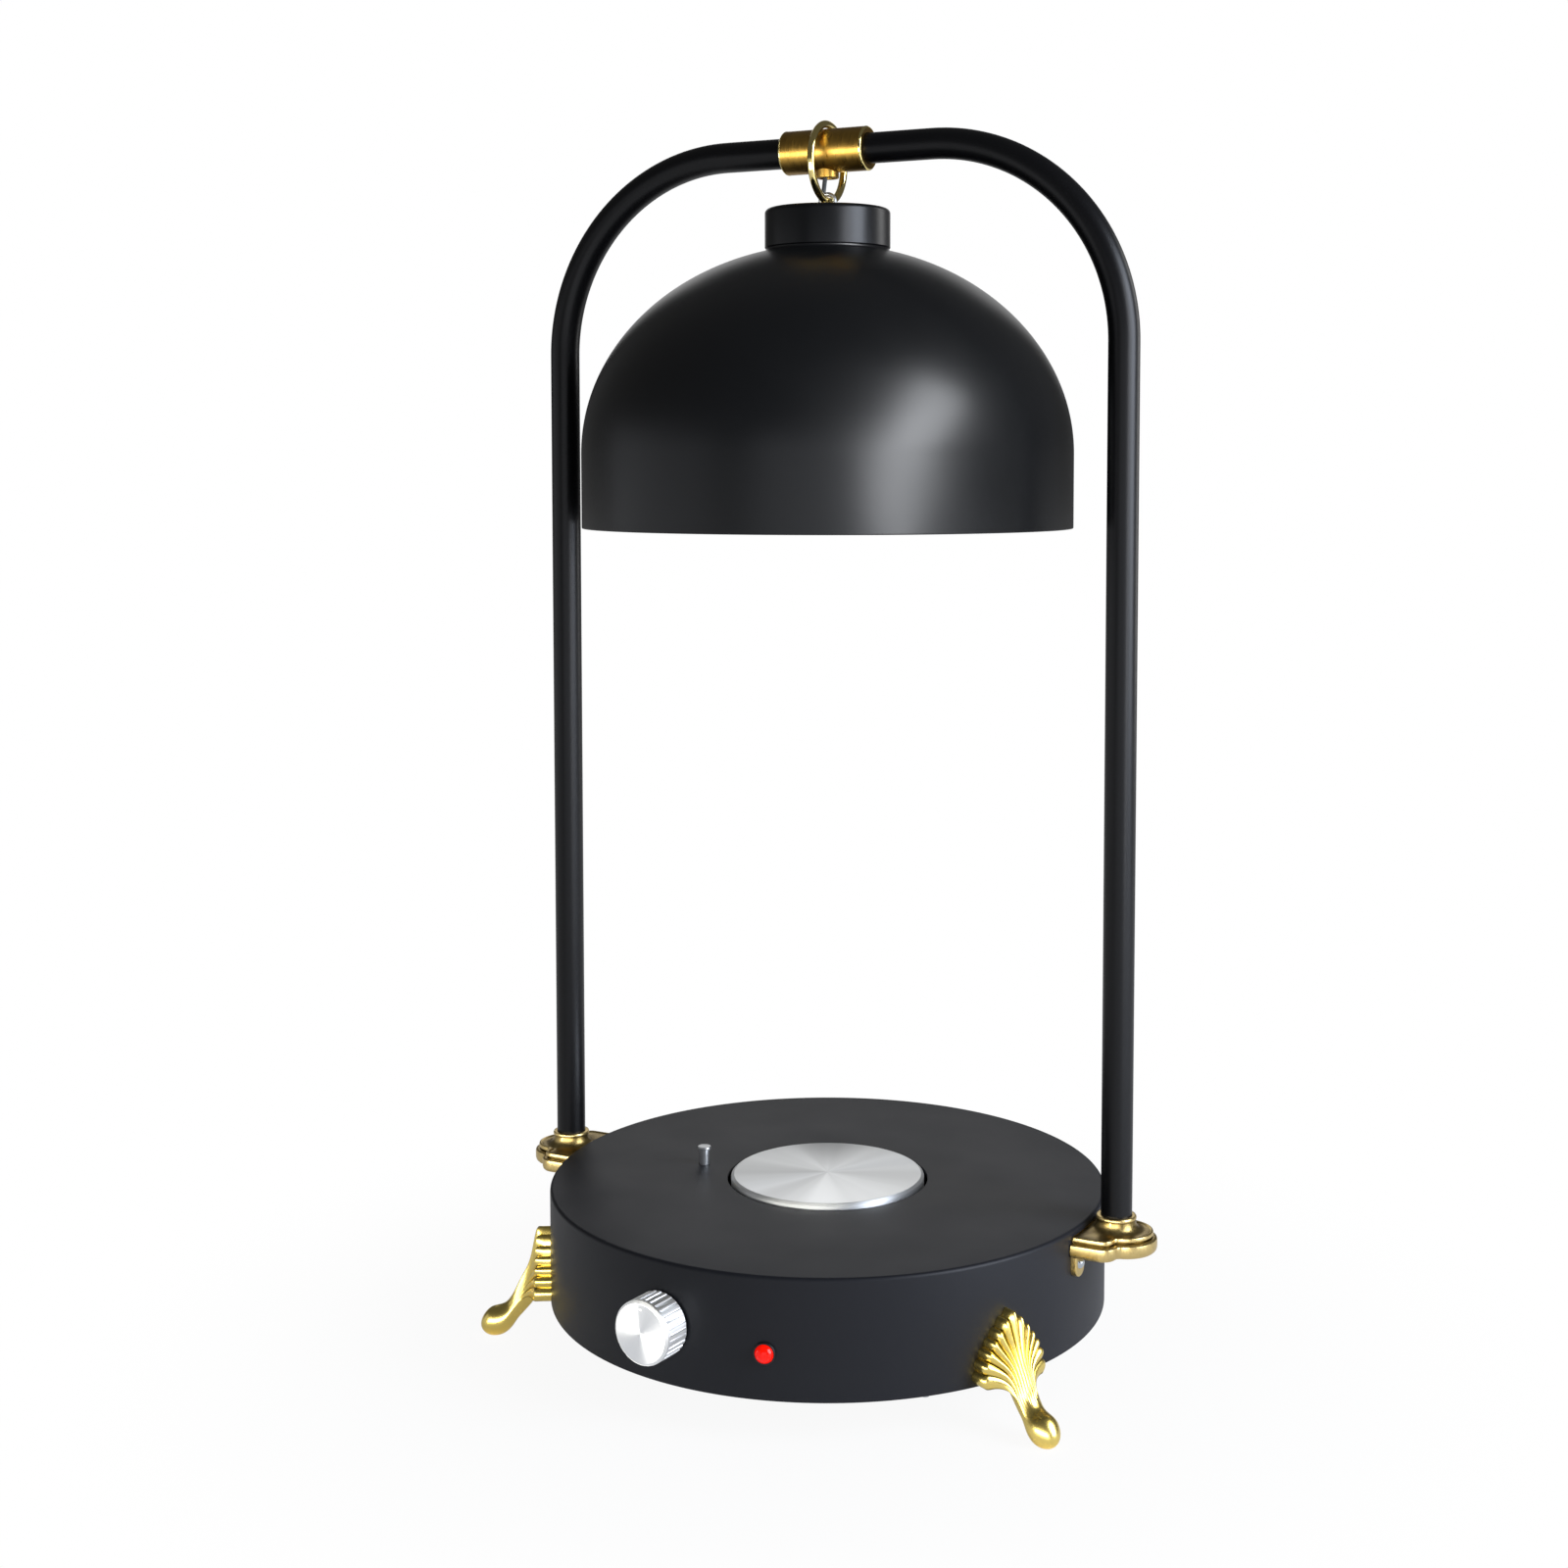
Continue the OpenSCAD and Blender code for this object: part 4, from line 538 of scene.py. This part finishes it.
# %% Wrap a grid into a foot
LOBES, PER_LOBE, RIB_ROWS, NECK_ROWS = 13, 12, 22, 34
FRONT = LOBES * PER_LOBE
WALL = DRUM_R + 0.1
NECK_LINE = [Vector(p) for p in ((158.5, 30), (166, 18), (172.25, 6.96), (188, 4.6))]


def mix(low, high, share):
    return low + (high - low) * share


def ease(share):
    share = min(1.0, max(0.0, share))
    return share * share * (3 - 2 * share)


def bezier(a, b, c, d, u):
    v = 1 - u
    return a * v ** 3 + b * (3 * v * v * u) + c * (3 * v * u * u) + d * u ** 3


def neck_point(u, t, front):
    """A point of the neck and toe, and the two directions along and out of the neck there."""
    centre = bezier(*NECK_LINE, u)
    a, b, c, d = NECK_LINE
    flow = bezier(b - a, (b - a + 2 * (c - b)) / 3, (2 * (c - b) + d - c) / 3, d - c, u).normalized()
    tip = 1.0 if u < 0.78 else math.sqrt(max(0.0, 1 - ((u - 0.78) / 0.22) ** 2))
    waist, toe = ease(u / 0.5), ease((u - 0.5) / 0.28)
    high = tip * mix(mix(6.6, 5.3, waist), 7.8, toe)
    wide = tip * mix(mix(6.8, 6.3, waist), 7.6, toe)
    spread = (1 - (1 - abs(t)) ** 1.7) * math.copysign(1, t)
    round_way = math.pi / 2 * t
    side, up = math.sin(round_way), math.cos(round_way) * (1 if front else -1)
    if front:
        band_side, band_up = spread, 0.3 + 0.7 * (1 - abs(spread) ** 2.4)
    else:
        band_side, band_up = math.copysign(abs(side) ** 0.5, t), 0.3 - 1.2 * math.cos(round_way)
    turned = ease((u - 0.42) / 0.3)
    side, up = mix(band_side, side, turned) * wide, mix(band_up, up, turned) * high
    out = Vector((-flow.y, 0, flow.x))
    point = Vector((centre.x, 0, centre.y)) + out * up + Vector((0, side, 0))
    return point, Vector((flow.x, 0, flow.y)), out


def rib_tip(t, lobe):
    """The tip of the palmette at one column, and the direction from there to its middle."""
    turn = math.radians(100 * t * (0.7 + 0.3 * t * t))
    ray = 19 + 11.7 * math.exp(-(abs(math.degrees(turn)) / 24) ** 1.2) + 0.9 * (2 * lobe - 1)
    y, z = ray * math.sin(turn), 27 + ray * math.cos(turn)
    thick = mix(9.5, 6.5, (ray * math.cos(turn) + 4) / 35.5)
    return Vector((math.sqrt(WALL ** 2 - y * y), y, z)), thick, Vector((0, -math.sin(turn), -math.cos(turn)))


def foot_point(t, row, front):
    lobe = abs(math.cos(LOBES / 2 * math.pi * t))
    tip, thick, inward = rib_tip(t, lobe)
    joins = mix(0.06, 0.4, t * t)
    end, flow, out = neck_point(joins, t, front)
    rib_depth = (lobe - 0.55) * (1 - abs(t) ** 4)
    if row == 0:
        return tip + Vector((thick / 2, 0, 0)), 0.3
    if row <= RIB_ROWS:
        share = (row - 1) / RIB_ROWS
        start = tip + Vector((thick, 0, 0)) if front else tip
        reach = (end - start).length
        lift = Vector((0.28 if front else 0, 0, 0))
        point = bezier(start, start + (inward + lift) * reach * 0.45, end - flow * reach * 0.4, end, share ** 1.15)
        if front:
            lean = Vector((1, 0, 0)).lerp(out, share).normalized()
            point += lean * (rib_depth * mix(1.9, 0.95, share) - (0.9 if row == 1 else 0.25 if row == 2 else 0))
    else:
        share = (row - RIB_ROWS) / NECK_ROWS
        u = joins + (1 - joins) * (1 - (1 - share) ** 1.6)
        point, flow, out = neck_point(u, t, front)
        if front:
            rib_depth *= ease(1 - (u - 0.05) / 0.45)
            point += out * rib_depth * 0.95
    point.x = max(point.x, math.sqrt(WALL ** 2 - point.y ** 2))
    point.z = max(point.z, 0.0)
    # The second value is the painted shade between the ribs, on the front only.
    return point, (1 - lobe) ** 2 * (ease(1 - (row - RIB_ROWS) / 20) if front else 0)


def foot_blank():
    bm = bmesh.new()
    columns, rows = 2 * FRONT + 2, RIB_ROWS + NECK_ROWS
    bmesh.ops.create_grid(bm, x_segments=columns, y_segments=rows, size=1)
    patina_and_painted_shade = bm.verts.layers.float.new("patina_and_painted_shade")
    for vert in bm.verts:
        column, row = round((vert.co.x + 1) / 2 * columns), round((vert.co.y + 1) / 2 * rows)
        front = column <= FRONT or column == columns
        t = 2 * (column % columns) / FRONT - 1 if front else 1 - 2 * (column - FRONT - 1) / FRONT
        vert.co, vert[patina_and_painted_shade] = foot_point(t, row, front)
    bmesh.ops.remove_doubles(bm, verts=bm.verts, dist=0.002)
    bmesh.ops.recalc_face_normals(bm, faces=bm.faces)
    return bm


FOOT_TURN = 61
for foot_name, foot_turn in (("foot_front_left", -FOOT_TURN), ("foot_front_right", FOOT_TURN), ("foot_rear", 180)):
    foot = move(foot_blank(), Matrix.Rotation(math.radians(foot_turn - 90), 4, "Z"))
    finish_piece(foot, foot_name + "_casting", "gold_plate", "frame", [foot_name], sharp=70)

# %% [markdown]
# ## Brackets
# A brass bracket carries each post: two plates with a groove between, a nose under the post and a
# flared boss with a bead. It is turned about the post like any lathe piece, and then the rows that
# belong to the plates are pushed out to the plan of the plate. Two round-ended lugs hang below.

# %% Turn a bracket and push it out to its plan
POST_X, HALF_W, NOSE_R = 164.0, 24.0, 15.5
PLATE_ROWS = [(-0.5, 69.5), (0.8, 69.75), (1.6, 70.5), (2, 71.8), (2, 75.2), (1.75, 76.1), (1.1, 76.6), (0.2, 76.75),
              (-1, 76.8), (-1, 77.5), (-0.3, 77.65), (0, 78.1), (0, 79.1), (-0.25, 79.7), (-0.9, 80), (-1.6, 79.85),
              (-2, 79.5), (-2.4, 79.35)]
BOSS_ROWS = [(14.6, 79.4), (12.4, 80.1), (11.2, 81.0), (10.45, 82.2), (10.0, 83.5), (9.75, 84.9), (9.9, 85.05),
             (10.2, 85.4), (10.25, 85.8), (10.2, 86.3), (9.9, 86.8), (9.4, 87), (8.15, 87), (8.15, 71.5), (0, 71.5)]


def plan_gap(x, y):
    """How far a point is outside the plate's plan: a rounded plate joined softly to a round nose."""
    corner = 6.0
    out_x, out_y = x - (POST_X + 4.5 - corner), abs(y) - (HALF_W - corner)
    plate = math.hypot(max(out_x, 0), max(out_y, 0)) + min(max(out_x, out_y), 0) - corner
    nose = math.hypot(x - POST_X - 3.5, y) - NOSE_R
    share = max(0.0, 3.0 - abs(plate - nose)) / 3.0
    return min(plate, nose) - share * share * 3.0 / 4


def plan_reach(grown, turn):
    """The distance from the post to the grown plan, or to the drum's wall, along a direction."""
    cos, sin = math.cos(turn), math.sin(turn)
    near, far = 0.0, 60.0
    for _ in range(30):
        middle = (near + far) / 2
        if plan_gap(POST_X + middle * cos, middle * sin) < grown:
            near = middle
        else:
            far = middle
    towards = -POST_X * cos
    inside = towards ** 2 - POST_X ** 2 + WALL ** 2
    return min(near, towards - math.sqrt(inside)) if towards > 0 and inside > 0 else near


def bracket_body():
    grown_at = {height: grown for grown, height in PLATE_ROWS}
    bm = lathe([(0, 69.5)] + [(30, height) for _, height in PLATE_ROWS] + BOSS_ROWS, steps=288, closed=False)
    for vert in bm.verts:
        across, turn = math.hypot(vert.co.x, vert.co.y), math.atan2(vert.co.y, vert.co.x)
        if across < 0.01:
            continue
        if across > 29:
            reach = plan_reach(grown_at[min(grown_at, key=lambda h: abs(h - vert.co.z))], turn)
        else:
            reach = min(across, plan_reach(-2.6, turn)) if across > 9.5 else across
        vert.co.x *= reach / across
        vert.co.y *= reach / across
    return move(bm, Matrix.Translation((POST_X, 0, 0)))


def lug(turn):
    bm = bmesh.new()
    bmesh.ops.create_grid(bm, x_segments=1, y_segments=1, size=0.5)
    move(bm, Matrix.Translation((0, -0.075, 0)) @ Matrix.Diagonal((9.5, 14.15, 1, 1)))
    low = [vert for vert in bm.verts if vert.co.y < 0]
    bmesh.ops.bevel(bm, geom=low, offset=4.7, offset_type="OFFSET", affect="VERTICES", segments=10, profile=0.5,
                    material=-1)
    raised = bmesh.ops.extrude_face_region(bm, geom=bm.faces[:])["geom"]
    bmesh.ops.translate(bm, vec=(0, 0, 3.1), verts=[g for g in raised if isinstance(g, bmesh.types.BMVert)])
    rim = [edge for edge in bm.edges if all(vert.co.z > 3 for vert in edge.verts)]
    bmesh.ops.bevel(bm, geom=rim, offset=0.7, offset_type="OFFSET", affect="EDGES", segments=4, profile=0.5,
                    material=-1)
    bmesh.ops.recalc_face_normals(bm, faces=bm.faces)
    return move(bm, on_wall(turn, 66.1) @ Matrix.Translation((0, 0, -0.1)))


for side, name in ((1, "right"), (-1, "left")):
    bracket = join(bracket_body(), lug(90 - 7.5), lug(90 + 7.5))
    grub_hole = lathe([(0, 6), (2.1, 6), (2.1, 40), (0, 40)], steps=32, closed=False)
    grub_hole = move(grub_hole, Matrix.Translation((POST_X, 0, 73.1)) @ Matrix.Rotation(-math.pi / 2, 4, "X"))
    bracket = drill(bracket, grub_hole)
    if side < 0:
        move(bracket, Matrix.Scale(-1, 4, (1, 0, 0)))
        bmesh.ops.reverse_faces(bracket, faces=bracket.faces)
    finish_piece(bracket, "post_bracket_" + name, "antique_brass", "frame", ["bracket_" + name])

# %% [markdown]
# ## Hoop
# Two bent tubes make the hoop. Each is a circle drawn up along the post, swept a quarter turn round
# the bend and drawn on to the sleeve, as a bending machine does it. The spin operator does all
# three, because a spin with no angle is a straight pull; the open ends are filled afterwards.

# %% Tubes, sleeve and outlet cup
POST_LOW, POST_TOP, HOOP_Z, BEND_X, TUBE_R, SLEEVE_HALF = 71.6, 531.0, 635.0, 60.0, 8.0, 24.0


def sweep(bm, end, stretch):
    """Draws a ring of edges straight on, as a spin without an angle, and gives the new ring."""
    return bmesh.ops.spin(bm, geom=end, cent=(0, 0, 0), axis=(0, 0, 1), dvec=stretch, angle=0, steps=1,
                          use_merge=False, use_duplicate=False)["geom_last"]


def close_ends(bm):
    bmesh.ops.holes_fill(bm, edges=[edge for edge in bm.edges if edge.is_boundary], sides=0)
    bmesh.ops.recalc_face_normals(bm, faces=bm.faces)
    return bm


def half_hoop():
    bm = bmesh.new()
    bmesh.ops.create_circle(bm, segments=64, radius=TUBE_R)
    move(bm, Matrix.Translation((POST_X, 0, POST_LOW)))
    end = sweep(bm, bm.edges[:], (0, 0, POST_TOP - POST_LOW))
    end = bmesh.ops.spin(bm, geom=end, cent=(BEND_X, 0, POST_TOP), axis=(0, -1, 0), dvec=(0, 0, 0),
                         angle=math.pi / 2, steps=48, use_merge=False, use_duplicate=False)["geom_last"]
    sweep(bm, end, (TUBE_R - BEND_X, 0, 0))
    return close_ends(bm)


for side, name in ((1, "right"), (-1, "left")):
    tube = move(half_hoop(), Matrix.Scale(side, 4, (1, 0, 0)))
    bmesh.ops.recalc_face_normals(tube, faces=tube.faces)
    finish_piece(tube, "hoop_tube_" + name, "tube_paint", "frame", ["tube_" + name], sharp=50)

sleeve = lathe([(8.15, -SLEEVE_HALF), (10.6, -SLEEVE_HALF), (11.5, 0.9 - SLEEVE_HALF), (11.5, SLEEVE_HALF - 0.9),
                (10.6, SLEEVE_HALF), (8.15, SLEEVE_HALF)],
               {0: 0.3, 1: 0.25, 2: 0.35, 3: 0.35, 4: 0.25, 5: 0.3}, steps=128)
rims = []
for end, turn in ((-1, 0), (1, math.pi)):
    rim = lathe([(10.5, -0.1), (10.9, -0.1), (11.6, 0.6), (11.6, 1.1), (10.5, 1.1)], {1: 0.2, 2: 0.3, 3: 0.2},
                steps=128)
    rims.append(move(rim, Matrix.Translation((0, 0, end * SLEEVE_HALF)) @ Matrix.Rotation(turn, 4, "X")))
lie_down = Matrix.Translation((0, 0, HOOP_Z)) @ Matrix.Rotation(math.pi / 2, 4, "Y")
finish_piece(move(join(*rims), lie_down), "sleeve_end_rims", "antique_brass", "frame", [], ring_gold)
sleeve = move(sleeve, lie_down)
finish_piece(sleeve, "hoop_joint_sleeve", "antique_brass", "frame", ["hoop_sleeve"], sleeve_brass)
cup = lathe([(4.2, 620.5), (6, 620.5), (6, 627), (4.2, 627)], {0: 0.4, 1: 0.7}, steps=64)
finish_piece(cup, "lead_outlet_cup", "antique_brass", "frame", ["outlet_cup"], sleeve_brass)

# %% [markdown]
# ## Ring, eye and lead
# The shade hangs by a polished ring that is linked through an eye bolt. The thin lamp lead leaves
# the cup, bows down past the ring and goes into the cap.

# %% Hanging ring, eye bolt and lead
def wire_ring(radius, wire, z, turn, steps=160):
    circle = [(radius + wire / 2 * math.cos(math.tau * i / 28), wire / 2 * math.sin(math.tau * i / 28))
              for i in range(28)]
    return move(lathe(circle, steps=steps), Matrix.Translation((0, 0, z)) @ turn)


RING_Z, EYE_Z = 628.8, 608.1
ring = wire_ring(20, 4, RING_Z, Matrix.Rotation(math.pi / 2, 4, "Y"))
finish_piece(ring, "hanging_ring", "gold_plate", "ring", ["hanger_ring"], ring_gold)
shank = lathe([(0, 575.5), (3, 575.5), (3, 603.2), (1.7, 604.6), (0, 604.6)], {1: 0.4, 3: 0.5}, steps=48, closed=False)
eye = join(wire_ring(4.2, 2.4, EYE_Z, Matrix.Rotation(math.pi / 2, 4, "X"), 72), shank)
finish_piece(eye, "eye_bolt", "bright_steel", "shade", ["cap_eye"])

LEAD_TOP, LEAD_LOW, LEAD_BOW = Vector((-1, 0, 625.5)), Vector((-7, 7, 598.5)), Vector((-0.5, 0.5, 0))
LEAD_R, LEAD_STEPS = 1.2, 24
lead = bmesh.new()
bmesh.ops.create_circle(lead, segments=20, radius=LEAD_R, matrix=Matrix.Translation(LEAD_LOW))
lead_end = lead.edges[:]
bows = [LEAD_BOW * math.sin(math.pi * i / LEAD_STEPS) ** 3 for i in range(LEAD_STEPS + 1)]
for i in range(LEAD_STEPS):
    lead_end = sweep(lead, lead_end, (LEAD_TOP - LEAD_LOW) / LEAD_STEPS + bows[i + 1] - bows[i])
lead = finish_piece(close_ends(lead), "lamp_lead", "lead_sheath", None, ["lamp_lead_drop"], sharp=60)
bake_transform(lead)

# %% [markdown]
# ## Shade
# A spun steel cap closes the top and a spun dome hangs below it. Both are outlines put on the
# lathe. The dome is half an ellipse above a short straight skirt, 1.2 mm thick all over, with its
# rim rolled smooth; the cap's roof is drilled for the eye bolt and the lead.

# %% Cap and dome
CAP_LOW, CAP_TOP, CAP_R, CAP_IN_R, ROOF, EYE_HOLE_R, LEAD_HOLE_R = 583.5, 604.5, 33.25, 31.75, 2, 4.3, 3.1
DOME_A, DOME_B, DOME_T, SPRING_Z, RIM_Z = 130.5, 110.5, 1.2, 475.2, 436.2
cap = lathe([(CAP_IN_R, CAP_LOW), (CAP_R - 0.7, CAP_LOW), (CAP_R, CAP_LOW + 0.7), (CAP_R, CAP_TOP),
             (EYE_HOLE_R, CAP_TOP), (EYE_HOLE_R, CAP_TOP - ROOF), (CAP_IN_R, CAP_TOP - ROOF)],
            {3: 2.5, 4: 0.3}, steps=160)
lead_hole = lathe([(0, CAP_TOP - 5), (LEAD_HOLE_R, CAP_TOP - 5), (LEAD_HOLE_R, CAP_TOP + 5), (0, CAP_TOP + 5)],
                  steps=40, closed=False)
cap = drill(cap, move(lead_hole, Matrix.Translation((-5.89, 5.7, 0))))
finish_piece(cap, "shade_top_cap", "shade_paint", "shade", ["shade_cap"])


def dome_line(a, b, from_r, count=56):
    start = math.acos(from_r / a)
    return [(a * math.cos(start * i / count), SPRING_Z + b * math.sin(start * i / count)) for i in range(count + 1)]


NECK_R, FILLET = 32.75, 1.2
outside = dome_line(DOME_A, DOME_B, NECK_R + FILLET)
inside = dome_line(DOME_A - DOME_T, DOME_B - DOME_T, 25.8)
bends = [math.pi / 2 * i / 5 for i in range(1, 6)]
fillet = [(NECK_R + FILLET - FILLET * math.sin(bend), outside[-1][1] + FILLET - FILLET * math.cos(bend))
          for bend in bends]
crown = [(NECK_R, CAP_LOW), (3.2, CAP_LOW), (3.2, CAP_LOW - DOME_T)]
dome = lathe([(DOME_A - DOME_T, RIM_Z), (DOME_A, RIM_Z)] + outside + fillet + crown + inside[::-1],
             {0: 0.55, 1: 0.55}, steps=256)
finish_piece(dome, "shade_dome_spun", "shade_paint", "shade", ["shade_dome"])

# %% [markdown]
# ## Lamp
# Inside the shade sits a porcelain holder with a reflector bulb. They only show from below, so
# outlines with rounded corners are enough; the bulb's blown glass has no corner at all.

# %% Holder and bulb
HOLDER_LOW, HOLDER_TOP, BULB_LOW, BULB_R, BASE_LOW = 541.3, 582.3, 453.3, 47.5, 538.3
holder = lathe([(13.7, HOLDER_LOW), (21, HOLDER_LOW), (21, HOLDER_LOW + 14), (19.4, HOLDER_LOW + 15.6),
                (19.4, HOLDER_TOP - 9), (21, HOLDER_TOP - 7.4), (21, HOLDER_TOP), (7, HOLDER_TOP), (7, HOLDER_TOP - 12),
                (13.7, HOLDER_TOP - 12)], {0: 0.6, 1: 1.6, 6: 1.0}, steps=96)
finish_piece(holder, "porcelain_holder", "white_ceramic", "shade", ["lamp_holder"])
FACE_Z = BULB_LOW + BULB_R * 0.42
glass = [(BULB_R * math.sin(math.pi / 2 * i / 20), FACE_Z - (FACE_Z - BULB_LOW) * math.cos(math.pi / 2 * i / 20))
         for i in range(21)]
glass += [(mix(BULB_R, 13.2, ease(i / 24)), mix(FACE_Z, BASE_LOW, i / 24)) for i in range(1, 25)]
bulb = lathe(glass + [(0, BASE_LOW)], steps=96, closed=False)
finish_piece(bulb, "reflector_bulb", "frosted_glass", "shade", ["bulb_glass"], sharp=50)

# %% [markdown]
# ## Cord bush
# A moulded bush lines the hole for the mains lead at the back. Its flange is rounded off, and the
# bore has a bell mouth, so that a lead would not chafe.

# %% Bush in the drum's wall
bush = lathe([(3.5, 2.1), (8.5, 2.1), (8.5, 0.1), (6, 0.1), (6, -1.7), (8.3, -1.7), (8.3, -4), (3.5, -4)],
             {0: 1.0, 1: 1.2, 6: 0.8, 7: 0.8}, steps=64)
finish_piece(move(bush, on_wall(BUSH_TURN, BUSH_Z)), "lead_bush", "black_plastic", "frame", ["cord_bush"])

# %% [markdown]
# ## Floor and light
# The photograph has a white ground that melts into a white background, with only a soft shadow under
# the drum. The floor is a wide disc of matt white that also glows: fully white to the camera, a
# little less close to the lamp, and faintly in reflections, so that the black paint stays black.
# Large soft boxes give the long highlights. Gloss shows each box as a streak on every piece, which a
# photographer keeps off with flags; here light linking does it. The dome has its own tilted key, and
# narrow boxes brighten only the metals, the feet, or the tubes and the cap.

# %% Floor, backdrop and soft boxes
floor_mesh = bmesh.new()
bmesh.ops.create_circle(floor_mesh, segments=96, radius=6, cap_ends=True)
floor = as_object(floor_mesh, "studio_floor")
floor_paint, floor_tree, floor_shader = new_finish("matt_white_floor", "#f4f4f4", {"Roughness": 0.9})
floor_place = add_node(floor_tree, "TexCoord").outputs["Object"]
away = add_node(floor_tree, "VectorMath", None, {0: floor_place}, operation="LENGTH")
fade = add_node(floor_tree, "MapRange", {"From Min": 0.1, "From Max": 0.42, "To Min": 0.93},
                {"Value": away.outputs["Value"]}, interpolation_type="SMOOTHSTEP")
ray = add_node(floor_tree, "LightPath").outputs
mirrored = add_node(floor_tree, "Math", {1: 0.36}, {0: ray["Is Glossy Ray"]}, operation="MULTIPLY")
seen = add_node(floor_tree, "Math", None, {0: ray["Is Camera Ray"], 1: mirrored.outputs["Value"]}, operation="MAXIMUM")
share = add_node(floor_tree, "Math", None, {0: fade.outputs["Result"], 1: seen.outputs["Value"]}, operation="MULTIPLY")
glow = add_node(floor_tree, "Emission", {"Color": linear("#ffffff"), "Strength": 1.0})
blend = add_node(floor_tree, "MixShader", None, {0: share.outputs["Value"], 1: floor_shader.outputs["BSDF"],
                                                 2: glow.outputs["Emission"]})
floor_tree.links.new(blend.outputs["Shader"], floor_tree.nodes["Material Output"].inputs["Surface"])
floor.data.materials.append(floor_paint)

world = bpy.data.worlds.new("studio")
bpy.context.scene.world = world
world.use_nodes = True
sky = world.node_tree
room = sky.nodes["Background"]
room.inputs["Color"].default_value = linear("#ffffff")
room.inputs["Strength"].default_value = 0.1
white = add_node(sky, "Background", {"Color": linear("#ffffff"), "Strength": 1.0})
path = add_node(sky, "LightPath").outputs["Is Camera Ray"]
either = add_node(sky, "MixShader", None, {0: path, 1: room.outputs["Background"], 2: white.outputs["Background"]})
sky.links.new(either.outputs["Shader"], sky.nodes["World Output"].inputs["Surface"])

DOME = ["shade_dome_spun"]
UPPER = ["hoop_tube_left", "hoop_tube_right", "shade_top_cap"]
FEET = ["foot_front_left_casting", "foot_front_right_casting", "foot_rear_casting"]
METAL = FEET + ["knob", "warming_disc", "hanging_ring", "sleeve_end_rims", "hoop_joint_sleeve", "lead_outlet_cup",
                "eye_bolt", "post_bracket_left", "post_bracket_right"]


def group(name, pieces, state="INCLUDE"):
    """A collection for light linking, outside the scene: a box lights only its pieces, or with EXCLUDE the rest."""
    made = bpy.data.collections.new(name)
    for piece in pieces:
        made.objects.link(bpy.data.objects[piece])
    for member in made.collection_objects:
        member.light_linking.link_state = state
    return made


def soft_box(name, turn, rise, away, size, watts, colour, only=None, roll=0):
    """An area light at a compass turn (0 is the front, 90 the right) that looks at the lamp's middle.

    only takes a group from above, and roll leans the box over, which slants its highlight."""
    lamp = bpy.data.lights.new(name, "AREA")
    lamp.shape, (lamp.size, lamp.size_y), lamp.energy = "RECTANGLE", size, watts
    lamp.color = linear(colour)[:3]
    box = bpy.data.objects.new(name, lamp)
    turn, rise = math.radians(turn), math.radians(rise)
    aim = Vector((0, 0, 0.33))
    level = math.cos(rise)
    box.location = aim + away * Vector((math.sin(turn) * level, -math.cos(turn) * level, math.sin(rise)))
    facing = (aim - box.location).to_track_quat("-Z", "Y")
    box.rotation_euler = (facing @ Quaternion((0, 0, 1), math.radians(roll))).to_euler()
    box.visible_camera = False
    bpy.context.collection.objects.link(box)
    if only:
        box.light_linking.receiver_collection = only


soft_box("key_right", 86, 17, 1.8, (1.0, 1.4), 44, "#e9f1ff", group("all_but_dome", DOME, "EXCLUDE"))
soft_box("dome_key", 65, 17, 1.8, (0.7, 1.9), 76, "#f1f4f9", group("dome", DOME), -36)
soft_box("low_left", -56, 3, 2.0, (2.4, 0.8), 3.4, "#f4f7ff")
soft_box("low_front", 20, 3, 1.6, (1.6, 0.7), 3.0, "#f4f7ff")
soft_box("back_wide", 205, 22, 2.2, (1.7, 0.9), 5, "#ffffff")
soft_box("metal_strip", -3, -3, 1.5, (2.6, 0.5), 42, "#fffdf4", group("metal_pieces", METAL))
soft_box("feet_card", 98, 30, 1.6, (0.9, 0.9), 16, "#fffff0", group("feet", FEET))
upper_pieces = group("upper_pieces", UPPER)
soft_box("upper_strip", 60, 5, 1.8, (0.35, 1.4), 12, "#f4f7ff", upper_pieces)
soft_box("upper_back", 140, 14, 2.0, (0.5, 1.4), 8, "#ffffff", upper_pieces)
